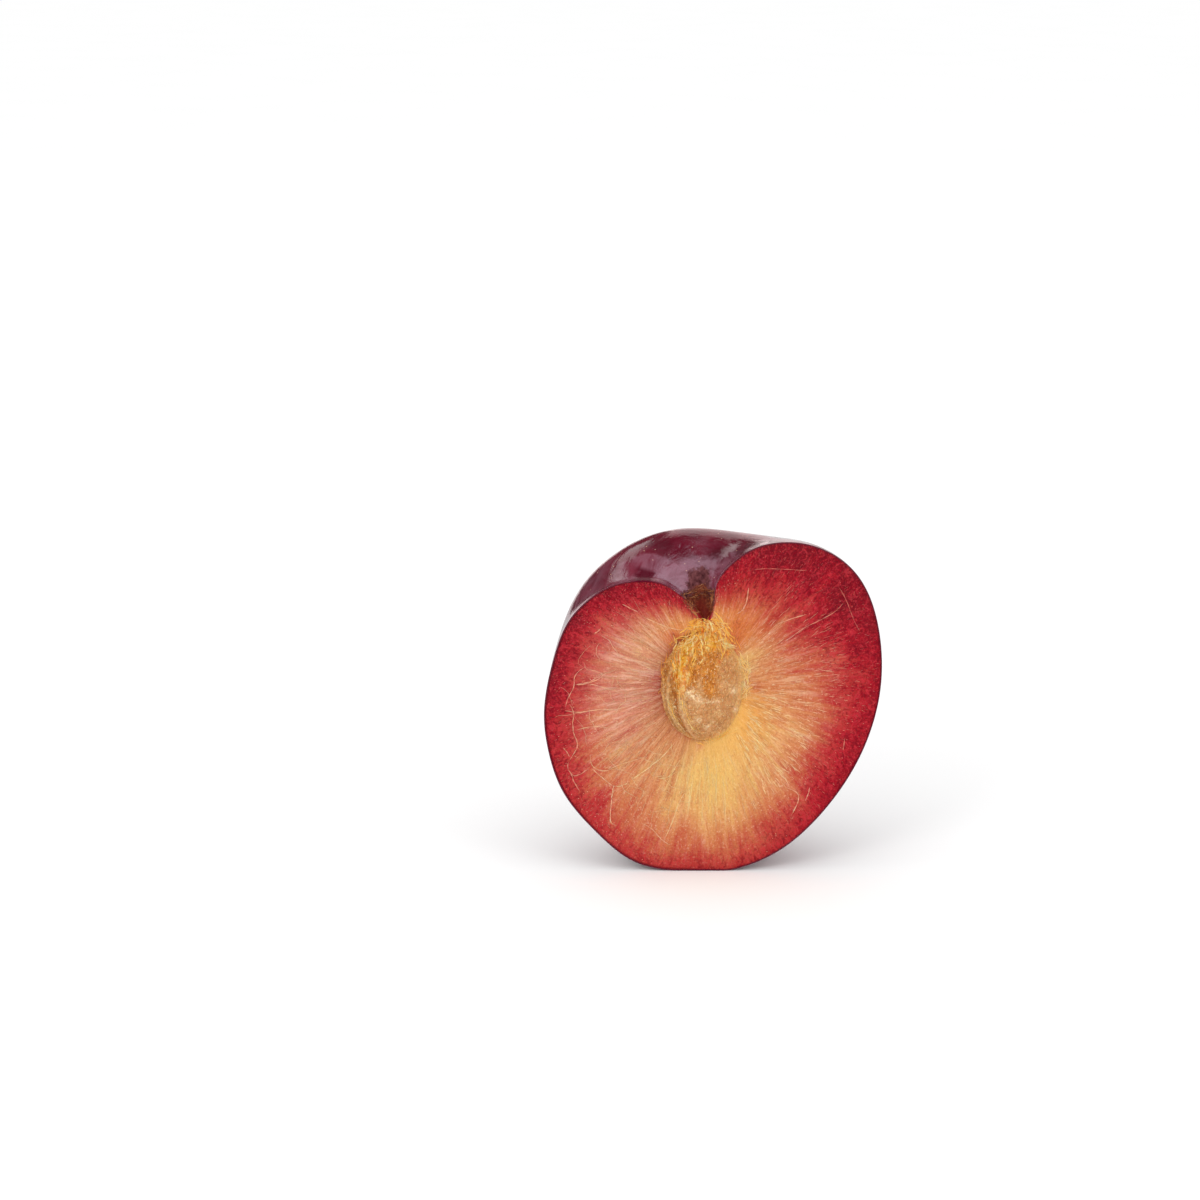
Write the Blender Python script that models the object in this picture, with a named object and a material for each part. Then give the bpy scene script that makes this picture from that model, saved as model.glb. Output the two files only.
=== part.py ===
"""Half of a pluot, cut along its suture, with the stone in it.

The whole fruit is lofted round its stem axis, and a knife takes off the front half. The stone lies in a
socket in the cut face and stands out of it. The half rests on a small flat spot at its blossom end, with
the cut face to the front (-Y) and leaning back a little.

Fruit frame: X to the dorsal side, -X to the suture, +Y into the half, +Z up the stem axis from the
blossom end. Profiles are lists of (distance from the stem axis, height), in millimetres.
"""

import math

import bmesh
import bpy
import numpy as np
from mathutils import Matrix

MM = 0.001

# Each profile runs from the floor of the stem pit up its wall, over its corky rim and on up the wall of the
# stem cavity to the crown, then down over the shoulder, flank and heel, and in to the blossom end.
DORSAL = [
    (0, 45.0), (0.9, 46.0), (1.5, 47.6), (1.8, 50.9), (3.5, 54.0), (8.5, 57.8), (16.2, 58.9), (23.7, 56.1),
    (28.9, 49.6), (31.3, 38.0), (29.9, 26.7), (24.9, 15.7), (16.8, 6.1), (9.9, 1.7), (4.6, 0.0), (0, -0.6),
]
DORSAL_CHEEK = [
    (0, 45.0), (1.0, 46.0), (1.8, 47.8), (2.7, 50.8), (5.1, 54.4), (10.0, 57.7), (16.0, 58.6), (22.2, 55.5),
    (26.8, 48.7), (29.0, 38.4), (28.8, 27.0), (26.9, 16.0), (22.4, 6.7), (15.4, 0.9), (8.0, -0.9), (0, -0.6),
]
SUTURE_CHEEK = [
    (0, 45.0), (1.0, 46.1), (2.0, 47.9), (3.1, 50.8), (5.8, 54.5), (10.5, 57.9), (16.2, 58.6), (22.2, 54.8),
    (25.8, 47.8), (27.9, 37.6), (27.9, 26.5), (25.7, 15.8), (20.8, 6.5), (14.5, 0.8), (8.0, -0.9), (0, -0.6),
]
SUTURE = [
    (0, 45.0), (1.0, 46.7), (2.8, 48.6), (4.3, 49.9), (6.8, 51.5), (10.5, 52.2), (16.5, 51.2), (22.8, 46.4),
    (26.0, 39.9), (28.1, 30.2), (27.5, 21.9), (24.7, 14.0), (19.0, 7.0), (12.8, 1.9), (6.6, 0.1), (0, -0.6),
]
PROFILES = (DORSAL, DORSAL_CHEEK, SUTURE_CHEEK, SUTURE)
PROFILE_ANGLES = (0, 60, 120, 180)  # degrees from the dorsal side
CLEFT_WIDTH = 7.0  # of the suture's furrow
CLEFT_BROAD = 0.5  # share of the furrow's depth that spreads over the whole cheek at the crown
CLEFT_FADES = (0.35, 0.8)  # shares of the way down the profile, past which the spread share is all of it

STONE_PROFILE = [
    (0, 43.2), (2.4, 42.6), (5.1, 40.7), (7.0, 37.9), (7.6, 34.1),
    (7.2, 30.4), (5.6, 26.9), (2.7, 24.4), (0, 23.7),
]
STONE_FLATNESS = 0.64  # thickness over width
STONE_TURN = 20.0  # degrees that its keel is turned out of the cut face
KEEL_HEIGHT = 0.55
KEEL_HALF_ANGLE = 24.0  # degrees round the stone from the keel to the groove beside it
KEEL_REACH = 1.3  # how far the ridges reach, in half angles
SOCKET_KEEL_REACH = 1.6
SOCKET_GAP = 0.35

LEAN = 4.0  # degrees that the cut face leans back
SETBACK = 11.0  # from the foot of the cut face back to the origin
PRESS_BLEND = 0.25  # half height of the round between the flat spot and the skin
KNIFE_SIZE = 160.0

STEPS_PER_SPAN = 4  # rows between two points of a profile
FRUIT_SIDES = 66
STONE_ROWS = 32
STONE_SIDES = 44


def spline(points, knots, at):
    """Natural cubic spline through the points at their knots, read at the parameters in at."""
    points = np.asarray(points, float)
    gaps = np.diff(knots)
    slopes = np.diff(points, axis=0) / gaps[:, None]
    count = len(knots)
    matrix = np.eye(count)
    right = np.zeros_like(points)
    for i in range(1, count - 1):
        matrix[i, i - 1 : i + 2] = gaps[i - 1], 2 * (gaps[i - 1] + gaps[i]), gaps[i]
        right[i] = 6 * (slopes[i] - slopes[i - 1])
    bends = np.linalg.solve(matrix, right)
    span = np.clip(np.searchsorted(knots, at, side="right") - 1, 0, count - 2)
    gap = gaps[span][:, None]
    after = (at - knots[span])[:, None] / gap
    before = 1 - after
    return (
        before * points[span]
        + after * points[span + 1]
        + gap**2 / 6 * ((before**3 - before) * bends[span] + (after**3 - after) * bends[span + 1])
    )


def fruit_knots():
    """Knots from 0 to 1, by the mean distance between the profiles' neighbouring points."""
    steps = np.mean([np.linalg.norm(np.diff(profile, axis=0), axis=1) for profile in PROFILES], axis=0)
    knots = np.concatenate([[0], np.cumsum(np.sqrt(steps))])
    return knots / knots[-1]


def smoothstep(low, high, value):
    share = np.clip((value - low) / (high - low), 0, 1)
    return share * share * (3 - 2 * share)


def fruit_point_rows(shares, angles):
    """Points of the fruit's skin in millimetres, a row for each share of the way down and a column for each
    angle from the dorsal side. Between the profiles the skin follows a cosine series, and the suture's
    furrow is sunk in that."""
    knots = fruit_knots()
    dorsal, dorsal_cheek, suture_cheek, suture = (spline(profile, knots, shares) for profile in PROFILES)
    broad = CLEFT_BROAD + (1 - CLEFT_BROAD) * smoothstep(*CLEFT_FADES, shares)[:, None]
    unsunk = suture_cheek + (suture - suture_cheek) * broad
    orders = np.arange(len(PROFILE_ANGLES))
    at_profiles = np.cos(np.outer(np.radians(PROFILE_ANGLES), orders))
    series = np.cos(np.outer(angles, orders)) @ np.linalg.inv(at_profiles)
    skin = np.einsum("ap,psc->sac", series, np.stack([dorsal, dorsal_cheek, suture_cheek, unsunk]))
    facing = np.minimum(np.cos(angles), 0) ** 2
    cleft = np.exp(-((suture[:, :1] * np.sin(angles) / CLEFT_WIDTH) ** 2)) * facing
    skin = skin + cleft[..., None] * (suture - unsunk)[:, None, :]
    radius, height = skin[..., 0], skin[..., 1]
    return np.stack([radius * np.cos(angles), radius * np.sin(angles), height], axis=-1)


def stone_point_rows(shares, angles, gap):
    """Points of the stone in millimetres. With a gap, those of the socket that goes round it instead, which
    follows the keel but none of its ridges."""
    profile = np.asarray(STONE_PROFILE, float)
    steps = np.linalg.norm(np.diff(profile, axis=0), axis=1)
    knots = np.concatenate([[0], np.cumsum(steps)]) / steps.sum()
    radius, height = spline(profile, knots, shares).T
    middle = (profile[0, 1] + profile[-1, 1]) / 2
    height = height + (height - middle) / (profile[0, 1] - middle) * gap
    from_keel = np.degrees(np.angle(np.exp(1j * (angles - math.pi))))[None, :] / KEEL_HALF_ANGLE
    if gap:
        relief = KEEL_HEIGHT * np.exp(-((from_keel / SOCKET_KEEL_REACH) ** 4)) + gap
    else:
        ridges = np.cos(math.pi * from_keel) * np.exp(-((from_keel / KEEL_REACH) ** 4))
        relief = KEEL_HEIGHT / 2 * ridges * np.sin(math.pi * shares)[:, None] ** 0.7
    across = (radius[:, None] + relief) * np.cos(angles)
    through = (radius[:, None] * STONE_FLATNESS + relief) * np.sin(angles)
    rows = np.stack([across, through, np.broadcast_to(height[:, None], across.shape)], axis=-1)
    return rows @ np.array(Matrix.Rotation(math.radians(STONE_TURN), 3, "Z")).T


def set_down(points):
    """Fruit frame in millimetres to the row frame in metres: leant back, and pressed flat where it rests."""
    leant = points @ np.array(Matrix.Rotation(-math.radians(LEAN), 3, "X")).T
    leant = leant + np.array([0, -SETBACK, 0])
    height = leant[..., 2]
    blended = (height + PRESS_BLEND) ** 2 / (4 * PRESS_BLEND)
    leant[..., 2] = np.where(height > PRESS_BLEND, height, np.where(height < -PRESS_BLEND, 0, blended))
    return leant * MM


def closed_loft(name, rows):
    """A closed mesh through rows of points, whose first and last rows each shrink to one point."""
    mesh = bmesh.new()
    top = mesh.verts.new(rows[0].mean(axis=0))
    bottom = mesh.verts.new(rows[-1].mean(axis=0))
    rings = [[mesh.verts.new(point) for point in row] for row in rows[1:-1]]
    sides = len(rings[0])
    for i in range(sides):
        j = (i + 1) % sides
        mesh.faces.new((top, rings[0][i], rings[0][j]))
        mesh.faces.new((bottom, rings[-1][j], rings[-1][i]))
        for upper, lower in zip(rings, rings[1:]):
            mesh.faces.new((upper[i], lower[i], lower[j], upper[j]))
    bmesh.ops.recalc_face_normals(mesh, faces=mesh.faces)
    data = bpy.data.meshes.new(name)
    mesh.to_mesh(data)
    mesh.free()
    data.shade_smooth()
    return bpy.data.objects.new(name, data)


def principled(name, colour, roughness):
    material = bpy.data.materials.new(name)
    material.use_nodes = True
    shader = material.node_tree.nodes["Principled BSDF"]
    shader.inputs["Base Color"].default_value = (*colour, 1)
    shader.inputs["Roughness"].default_value = roughness
    shader.inputs["Metallic"].default_value = 0
    return material


def whole_fruit():
    spans = len(DORSAL) - 1
    steps = np.arange(spans * STEPS_PER_SPAN + 1) / STEPS_PER_SPAN
    shares = np.interp(steps, np.arange(spans + 1), fruit_knots())
    angles = (np.arange(FRUIT_SIDES) + 0.5) * 2 * math.pi / FRUIT_SIDES
    fruit = closed_loft("cut_half", set_down(fruit_point_rows(shares, angles)))
    fruit.data.materials.append(principled("skin", (0.16, 0.012, 0.03), 0.25))
    return fruit


def stone_loft(name, gap):
    shares = (1 - np.cos(np.linspace(0, math.pi, STONE_ROWS + 1))) / 2
    angles = np.arange(STONE_SIDES) * 2 * math.pi / STONE_SIDES
    return closed_loft(name, set_down(stone_point_rows(shares, angles, gap)))


def stone_piece():
    stone = stone_loft("stone", 0)
    stone.data.materials.append(principled("stone", (0.5, 0.3, 0.14), 0.6))
    return stone


def knife_block():
    """A block in front of the cut face, as far from the stem axis as the cut is."""
    mesh = bmesh.new()
    bmesh.ops.create_cube(mesh, size=KNIFE_SIZE * MM)
    data = bpy.data.meshes.new("knife")
    mesh.to_mesh(data)
    mesh.free()
    knife = bpy.data.objects.new("knife", data)
    lean = Matrix.Rotation(-math.radians(LEAN), 4, "X")
    to_foot = Matrix.Translation((0, -SETBACK * MM, 0))
    knife.matrix_world = to_foot @ lean @ Matrix.Translation((0, -KNIFE_SIZE / 2 * MM, 0))
    return knife


def cut(target, cutter):
    """Takes the cutter away from the target with a Boolean, and keeps the cutter out of the render."""
    cutter.hide_render = True
    cutter.display_type = "WIRE"
    modifier = target.modifiers.new("Cut by " + cutter.name, "BOOLEAN")
    modifier.operation = "DIFFERENCE"
    modifier.solver = "EXACT"
    modifier.object = cutter


def main():
    for old in list(bpy.data.objects):
        bpy.data.objects.remove(old)
    pieces = bpy.data.collections.new("pluot half")
    cutters = bpy.data.collections.new("cutters")
    for collection in (pieces, cutters):
        bpy.context.scene.collection.children.link(collection)

    half = whole_fruit()
    pieces.objects.link(half)
    pieces.objects.link(stone_piece())
    for cutter in (knife_block(), stone_loft("socket", SOCKET_GAP)):
        cutters.objects.link(cutter)
        cut(half, cutter)


main()
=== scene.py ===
"""Looks of the pluot half: skin, cut flesh with its veins, stone, pulp and corky scar, and camera and light.

The surfaces repeat the part's own profiles with finer rows, and add the relief and the fibres that the
solids leave out. Fruit frame: X to the dorsal side, -X to the suture, +Y into the half, +Z up the stem axis
from the blossom end. Points are in millimetres until a mesh is made of them. Angles round the cut face run
from the dorsal side, anticlockwise as the camera sees it, and depths in it from 0 at the stone to 1 at the
skin. A side of the cut face is 1, the dorsal one, or -1, the one with the suture. Colours are given as a
picture's 8-bit values.
"""

import math

import bmesh
import bpy
import numpy as np
from mathutils import Matrix, Vector, kdtree, noise


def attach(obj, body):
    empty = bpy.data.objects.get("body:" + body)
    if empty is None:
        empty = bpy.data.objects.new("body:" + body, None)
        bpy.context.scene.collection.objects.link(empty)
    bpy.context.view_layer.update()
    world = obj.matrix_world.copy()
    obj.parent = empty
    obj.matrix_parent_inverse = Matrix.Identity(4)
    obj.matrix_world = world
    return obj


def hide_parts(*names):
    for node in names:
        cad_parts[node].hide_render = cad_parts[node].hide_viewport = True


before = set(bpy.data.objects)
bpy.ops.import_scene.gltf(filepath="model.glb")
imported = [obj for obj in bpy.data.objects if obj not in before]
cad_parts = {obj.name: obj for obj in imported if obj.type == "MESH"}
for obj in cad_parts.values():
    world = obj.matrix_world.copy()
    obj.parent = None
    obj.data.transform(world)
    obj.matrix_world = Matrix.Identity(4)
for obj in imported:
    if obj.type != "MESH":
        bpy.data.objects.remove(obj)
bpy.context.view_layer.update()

MM = 0.001
SEED = 7

# The part's own profiles: floor and wall of the stem pit, corky rim, wall of the stem cavity, crown,
# shoulder, flank, heel and blossom end
DORSAL = [
    (0, 45.0), (0.9, 46.0), (1.5, 47.6), (1.8, 50.9), (3.5, 54.0), (8.5, 57.8), (16.2, 58.9), (23.7, 56.1),
    (28.9, 49.6), (31.3, 38.0), (29.9, 26.7), (24.9, 15.7), (16.8, 6.1), (9.9, 1.7), (4.6, 0.0), (0, -0.6),
]
DORSAL_CHEEK = [
    (0, 45.0), (1.0, 46.0), (1.8, 47.8), (2.7, 50.8), (5.1, 54.4), (10.0, 57.7), (16.0, 58.6), (22.2, 55.5),
    (26.8, 48.7), (29.0, 38.4), (28.8, 27.0), (26.9, 16.0), (22.4, 6.7), (15.4, 0.9), (8.0, -0.9), (0, -0.6),
]
SUTURE_CHEEK = [
    (0, 45.0), (1.0, 46.1), (2.0, 47.9), (3.1, 50.8), (5.8, 54.5), (10.5, 57.9), (16.2, 58.6), (22.2, 54.8),
    (25.8, 47.8), (27.9, 37.6), (27.9, 26.5), (25.7, 15.8), (20.8, 6.5), (14.5, 0.8), (8.0, -0.9), (0, -0.6),
]
SUTURE = [
    (0, 45.0), (1.0, 46.7), (2.8, 48.6), (4.3, 49.9), (6.8, 51.5), (10.5, 52.2), (16.5, 51.2), (22.8, 46.4),
    (26.0, 39.9), (28.1, 30.2), (27.5, 21.9), (24.7, 14.0), (19.0, 7.0), (12.8, 1.9), (6.6, 0.1), (0, -0.6),
]
PROFILES = (DORSAL, DORSAL_CHEEK, SUTURE_CHEEK, SUTURE)
PROFILE_ANGLES = (0, 60, 120, 180)
CLEFT_WIDTH = 7.0
CLEFT_BROAD = 0.5
CLEFT_FADES = (0.35, 0.8)

STONE_PROFILE = [
    (0, 43.2), (2.4, 42.6), (5.1, 40.7), (7.0, 37.9), (7.6, 34.1),
    (7.2, 30.4), (5.6, 26.9), (2.7, 24.4), (0, 23.7),
]
STONE_FLATNESS = 0.64
STONE_TURN = 20.0
KEEL_HEIGHT = 0.55
KEEL_HALF_ANGLE = 24.0
KEEL_REACH = 1.3

LEAN = 4.0
SETBACK = 11.0
PRESS_BLEND = 0.25

# Rows and columns of the fine surfaces
FACE_ROWS = 350  # down each side of the cut face
FACE_COLUMNS = 96  # from the stone out to the skin
MIDDLE_COLUMN = 40  # where a row's angle is read
COLUMN_SPREAD = 1.15  # above 1, the columns crowd towards the stone
BOWL_COLUMNS = 14
BACK_COLUMNS = 44
SKIN_ROWS = 260
SKIN_COLUMNS = 130
SKIN_INNER_COLUMNS = 50
STONE_ROWS = 250
STONE_SIDES = 300

SKIN_THICKNESS = 0.22
SKIN_RIM_PROUD = 0.05
FLESH_SINK = 0.85  # how deep in the skin the flesh's back lies, as a share of its thickness
SHARP_ANGLE = 50  # degrees between faces from which an edge is drawn sharp
FACE_CENTRE = 33.4  # height of the point that the face's angles are taken about
CLEARANCES = {1: 0.02, -1: 0.05}  # between stone and flesh
CLINGS = {1: 0.5, -1: 0.12}  # how far the flesh reaches up the stone out of the cut plane
CLING_REACH = 0.7  # over what distance from the stone it does so
RIM_ANGLES = {1: (-80, 10), -1: (100, 190)}  # round the stone, between which the socket's rim lies
RIM_EVENNESS = 0.4  # from 0, rows at the outline's angles, to 1, rows evenly round the rim
SOCKET_DEPTH = 0.15  # how much further from the stone the socket is at its deepest
LAY_RADIUS = 20.0  # the skin's streaks are read on a cylinder of this radius, and run round it
FLOW_RADIUS = 16.0  # the flesh's are read on one of this radius, and run along it, out from the stone

# Relief of the cut face: height, size and seed of its waves
FACE_WAVES = [(0.2, 7.0, 1), (0.08, 2.2, 2), (0.03, 0.9, 6)]
SKIN_DROOP = 0.16  # how far the flesh sinks beside the skin
CREVICE = 0.12  # and beside the stone's keel

# How ripe red the flesh is, from 0, pale gold, to 1, dark crimson, for each angle round the face: next to
# the stone, at three depths between, and under the skin
RIPENESS_DEPTHS = (0.08, 0.3, 0.55, 0.78, 1.0)
RIPENESS = {
    0: (0.28, 0.34, 0.46, 0.65, 0.90),
    30: (0.10, 0.46, 0.68, 0.92, 0.98),
    60: (0.62, 0.50, 0.72, 0.92, 1.00),
    90: (0.08, 0.22, 0.54, 0.72, 0.92),
    120: (0.50, 0.32, 0.56, 0.88, 1.00),
    150: (0.25, 0.24, 0.52, 0.70, 1.00),
    180: (0.36, 0.36, 0.46, 0.64, 0.97),
    210: (0.32, 0.36, 0.36, 0.61, 0.74),
    240: (0.26, 0.22, 0.25, 0.50, 0.64),
    270: (0.12, 0.00, 0.15, 0.43, 0.66),
    300: (0.06, 0.12, 0.24, 0.58, 0.73),
    330: (0.14, 0.15, 0.33, 0.68, 0.88),
}

# Small spots that are redder than the flesh round them: distance to the dorsal side, height, reach and how
# much redder
RIPE_SPOTS = [
    (9.2, 33.2, 1.1, 0.24), (8.2, 35.2, 0.8, 0.1), (-0.6, 22.6, 0.7, 0.3), (-8.4, 35.0, 1.2, 0.15),
    (-5.4, 42.4, 0.8, 0.15), (5.6, 44.4, 0.8, 0.08), (13.0, 27.4, 1.3, 0.1), (-15.5, 31.5, 2.5, 0.08),
    (-12.0, 40.0, 2.0, -0.08),
]

# Soft patches of another colour: strength, angle, depth, and how far each reaches round and out
PATCHES = {
    "gold": [
        (1, -40, 0, 38, 0.26), (1, 91, 0.06, 20, 0.36), (0.6, 58, 0.12, 16, 0.22), (0.4, 122, 0.12, 14, 0.2),
    ],
    # The next patch: pink flesh beside the stone, partly painted wet sheen
    "blush": [(1, 163, 0.3, 30, 0.32), (0.7, 200, 0.35, 18, 0.25)],
    "rose": [(1, 178, 0, 24, 0.2)],
    "straw": [(1, -82, 0.25, 17, 0.4), (0.8, -50, 0, 30, 0.16)],
}

# Veins in the cut face, each through a few (distance to the dorsal side, height) points. Those to the suture
# are negative.
VEINS = [
    [(-10.8, 45.9), (-6.5, 43.9), (-4.1, 43.4), (-2.4, 43.5)],
    [(-7.5, 43.1), (-6.2, 43.7)],
    [(-14.4, 48.0), (-12.9, 47.2), (-11.3, 46.4)],
    [(-20.9, 36.8), (-22.8, 35.0), (-22.9, 33.7), (-23.8, 31.6), (-24.4, 29.3)],
    [(-20.9, 36.5), (-17.9, 35.3), (-20.8, 33.8), (-22.9, 33.6)],
    [(-20.8, 33.8), (-16.9, 32.9), (-14.6, 32.1)],
    [(-24.4, 28.9), (-21.5, 28.7), (-18.5, 29.2), (-15.4, 29.3), (-12.5, 30.2)],
    [(-23.7, 30.1), (-23.0, 28.8), (-23.1, 27.2), (-23.0, 25.2), (-22.6, 23.7)],
    [(-19.3, 42.7), (-18.2, 43.7)],
    [(-22.3, 25.5), (-18.5, 26.0), (-16.5, 25.7)],
    [(-20.0, 21.1), (-19.8, 19.3), (-17.7, 18.1), (-15.2, 19.1), (-13.1, 19.8), (-10.0, 20.8)],
    [(-19.8, 18.6), (-17.7, 16.7), (-15.9, 15.2)],
    [(-13.1, 16.2), (-11.3, 17.5), (-8.7, 19.5), (-6.5, 21.6), (-5.2, 23.1)],
    [(-16.3, 13.6), (-16.4, 10.8), (-16.2, 8.5), (-15.4, 8.2)],
    [(-11.0, 8.7), (-9.2, 7.7), (-6.9, 5.4), (-5.4, 4.4)],
    [(-6.9, 5.6), (-5.4, 9.2), (-4.1, 12.8), (-3.1, 14.4)],
    [(-23.6, 20.4), (-24.0, 18.6), (-23.0, 17.3), (-20.7, 18.2), (-19.7, 18.6)],
    [(-8.2, 16.7), (-5.9, 17.3), (-4.9, 18.8), (-3.9, 20.3)],
    [(-22.7, 24.4), (-22.3, 22.4), (-22.9, 21.2), (-23.7, 20.1)],
    [(-23.8, 18.2), (-23.2, 16.9), (-22.7, 15.6), (-21.9, 14.4)],
    [(-16.1, 15.4), (-14.6, 15.4), (-12.9, 16.3)],
    [(-15.9, 15.5), (-16.1, 14.2), (-16.3, 12.9)],
    [(-21.2, 37.6), (-20.8, 36.6), (-20.1, 36.0)],
    [(-22.9, 33.7), (-21.2, 33.9), (-19.6, 34.4), (-18.1, 35.2)],
    [(-24.9, 22.4), (-24.2, 21.6), (-23.7, 20.5)],
    [(7.8, 51.3), (7.4, 48.8), (6.7, 47.0), (5.6, 46.2)],
    [(7.3, 53.9), (8.9, 54.2), (12.5, 54.4), (17.0, 54.1), (19.1, 53.9)],
    [(23.7, 50.9), (24.9, 48.6), (26.1, 45.5), (27.3, 43.2)],
    [(13.3, 40.6), (16.6, 43.1), (20.2, 45.1), (23.5, 47.2), (24.7, 48.5)],
    [(12.6, 44.4), (14.6, 45.1), (17.9, 46.2)],
    [(14.3, 15.2), (16.7, 13.9), (16.5, 11.8), (15.6, 10.0)],
    [(18.8, 15.4), (18.5, 13.6), (18.0, 12.6)],
    [(24.9, 24.0), (24.6, 21.7)],
]
VEIN_RADIUS = 0.088
VEIN_DRIFT = 0.018  # how far a vein wavers from one of its points to the next

# The net of faint veins on the suture side: how many, their angles, how far from the face's centre they
# start, their radius and tone, the step from point to point, and how much they turn at each, in radians
FAINT_VEINS = 44
FAINT_VEIN_ANGLES = (160, 265)
FAINT_VEIN_REACH = (12.5, 23.5)
FAINT_VEIN_RADIUS = (0.042, 0.066)
FAINT_VEIN_TONES = (0.35, 0.6)
FAINT_VEIN_STEP = 0.7
FAINT_VEIN_TURN = 0.3

# Strands of pulp and fibre, scattered about lines drawn over the stone and its rim: the line's points as
# (distance to the dorsal side, height), how far they stray from it, their share of its length, radius,
# tone, turn off its direction in degrees, and how many
PULP_GUIDES = [
    ([(-1.5, 44.6), (-2.3, 42.4), (-4.2, 41.5), (-5.8, 40.5)],
     0.5, (0.15, 0.5), (0.05, 0.13), (0.5, 1.0), 14, 26),
    ([(0, 44.9), (-1.2, 42.4), (-2.6, 39.7), (-3.6, 36.9)],
     0.9, (0.12, 0.4), (0.05, 0.18), (0.0, 1.0), 26, 28),
    ([(-3.2, 43.0), (-1.0, 44.2), (1.2, 44.2), (3.6, 42.8)],
     0.4, (0.12, 0.4), (0.05, 0.18), (0.0, 1.0), 55, 60),
    ([(-2.7, 44.5), (-1.5, 45.2), (-0.5, 44.6)], 0.25, (0.2, 0.5), (0.05, 0.14), (0.1, 0.9), 50, 18),
    ([(0.8, 44.7), (1.7, 45.3), (2.7, 44.6)], 0.25, (0.2, 0.5), (0.05, 0.14), (0.2, 1.0), 50, 18),
    ([(0.3, 44.9), (0.4, 42.4), (0.3, 38.4)], 1.0, (0.12, 0.35), (0.05, 0.18), (0.0, 1.0), 30, 22),
    ([(0.4, 45.2), (1.8, 43.2), (2.6, 40.8), (2.9, 38.3)],
     0.8, (0.12, 0.4), (0.05, 0.16), (0.0, 1.0), 26, 22),
    ([(1.5, 45.7), (3.6, 43.2), (5.0, 41.3), (6.1, 39.7)],
     0.5, (0.12, 0.4), (0.04, 0.12), (0.3, 1.0), 16, 34),
    ([(2.8, 41.9), (4.2, 40.8), (5.8, 40.2)], 0.15, (0.5, 1.0), (0.06, 0.1), (0.9, 1.0), 4, 5),
    ([(-3.0, 42.6), (-4.4, 40.5), (-4.6, 38.0), (-4.6, 34.5)],
     0.7, (0.1, 0.35), (0.05, 0.16), (0.0, 1.0), 18, 30),
    ([(-6.1, 40.2), (-6.9, 37.6), (-7.4, 34.6), (-7.3, 31.6)],
     0.25, (0.1, 0.4), (0.03, 0.07), (0.0, 0.6), 14, 34),
    ([(-6.9, 33.3), (-6.0, 29.5), (-4.4, 26.7), (-2.5, 24.5)],
     0.5, (0.1, 0.35), (0.03, 0.08), (0.4, 1.0), 9, 30),
    ([(-4.1, 33.9), (-3.5, 30.5), (-2.2, 27.2), (0.2, 24.6)],
     0.35, (0.1, 0.3), (0.03, 0.08), (0.5, 1.0), 10, 16),
    ([(6.1, 39.7), (7.2, 36.9), (7.6, 33.9), (7.3, 30.6)],
     0.4, (0.1, 0.3), (0.03, 0.08), (0.8, 1.0), 24, 60),
    ([(-2.6, 24.6), (0.2, 23.3), (2.8, 24.1), (5.6, 26.6)],
     0.35, (0.1, 0.25), (0.03, 0.08), (0.5, 1.0), 30, 22),
]
PIT_GUIDES = [
    ([(-3.4, 49.2), (-2.4, 47.6), (-1.0, 45.6)], 0.3, (0.2, 0.5), (0.04, 0.12), (0.3, 1.0), 30, 34),
    ([(1.6, 50.8), (1.4, 48.6), (0.8, 46.4)], 0.15, (0.15, 0.4), (0.03, 0.08), (0.2, 0.9), 25, 22),
]
GUIDE_POINTS = 60
STRAND_POINTS = 9  # as they are laid
FINE_STRAND_POINTS = 18  # and as they are drawn

# Fibres that show in the cut face: side, angles, depths from the stone, lengths in millimetres, radius,
# tone and how many
FACE_FIBRES = [
    (1, (-60, -8), (0.06, 0.6), (0.5, 2.1), (0.035, 0.1), (0.4, 1.0), 240),
    (1, (-8, 50), (0.02, 0.7), (0.5, 2.2), (0.03, 0.055), (0.3, 0.8), 220),
    (1, (-60, 85), (0.6, 0.97), (0.25, 0.9), (0.025, 0.05), (0.1, 0.6), 450),
    # The next two rows: short pale flecks in the red band, painted glints of wet juice
    (1, (-80, 85), (0.55, 0.97), (0.12, 0.3), (0.04, 0.07), (0.6, 1.0), 160),
    (-1, (100, 255), (0.6, 0.97), (0.12, 0.3), (0.04, 0.07), (0.6, 1.0), 140),
    (-1, (130, 225), (0.0, 0.5), (1.5, 6.0), (0.03, 0.05), (0.1, 0.45), 190),
    (-1, (215, 262), (0.05, 0.6), (1.0, 4.0), (0.03, 0.05), (0.15, 0.5), 140),
    (1, (-92, -60), (0.1, 0.6), (1.0, 4.0), (0.03, 0.05), (0.3, 0.7), 90),
    (1, (-90, -76), (0.05, 0.4), (3.0, 8.0), (0.05, 0.11), (0.3, 0.7), 9),
    (-1, (254, 270), (0.05, 0.4), (3.0, 8.0), (0.05, 0.11), (0.3, 0.7), 9),
    (-1, (100, 260), (0.55, 0.97), (0.2, 0.7), (0.025, 0.05), (0.1, 0.5), 400),
    # The last two rows: pale flecks by the stone, painted glints of wet juice
    (1, (-30, 45), (0.02, 0.3), (0.3, 0.9), (0.04, 0.075), (0.85, 1.0), 45),
    (-1, (150, 215), (0.02, 0.25), (0.3, 1.1), (0.03, 0.06), (0.8, 1.0), 40),
]

# Corky threads round the mouth of the stem pit: how many, their angles round it, how far down the profile,
# counted in its points, and with what scatter
SCAR_COUNT = 90
SCAR_ANGLES = (3, 162)
SCAR_PLACE = (2.62, 0.17)
SCAR_POINTS = 8  # on each, before it is smoothed

# Ridges along the stone: degrees from the keel, half width in degrees, and height or depth
STONE_RIDGES = [
    (-25, 6, 0.1), (-12, 4, -0.14), (0, 5, 0.1), (9, 3, -0.1), (17, 5, 0.16), (33, 4.5, -0.3), (46, 6, 0.18),
    (60, 6, -0.06),
]
PULP_ENDS = (0.12, 0.34)  # shares of the way down the stone at which the pulp on its neck thins out and ends

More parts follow.
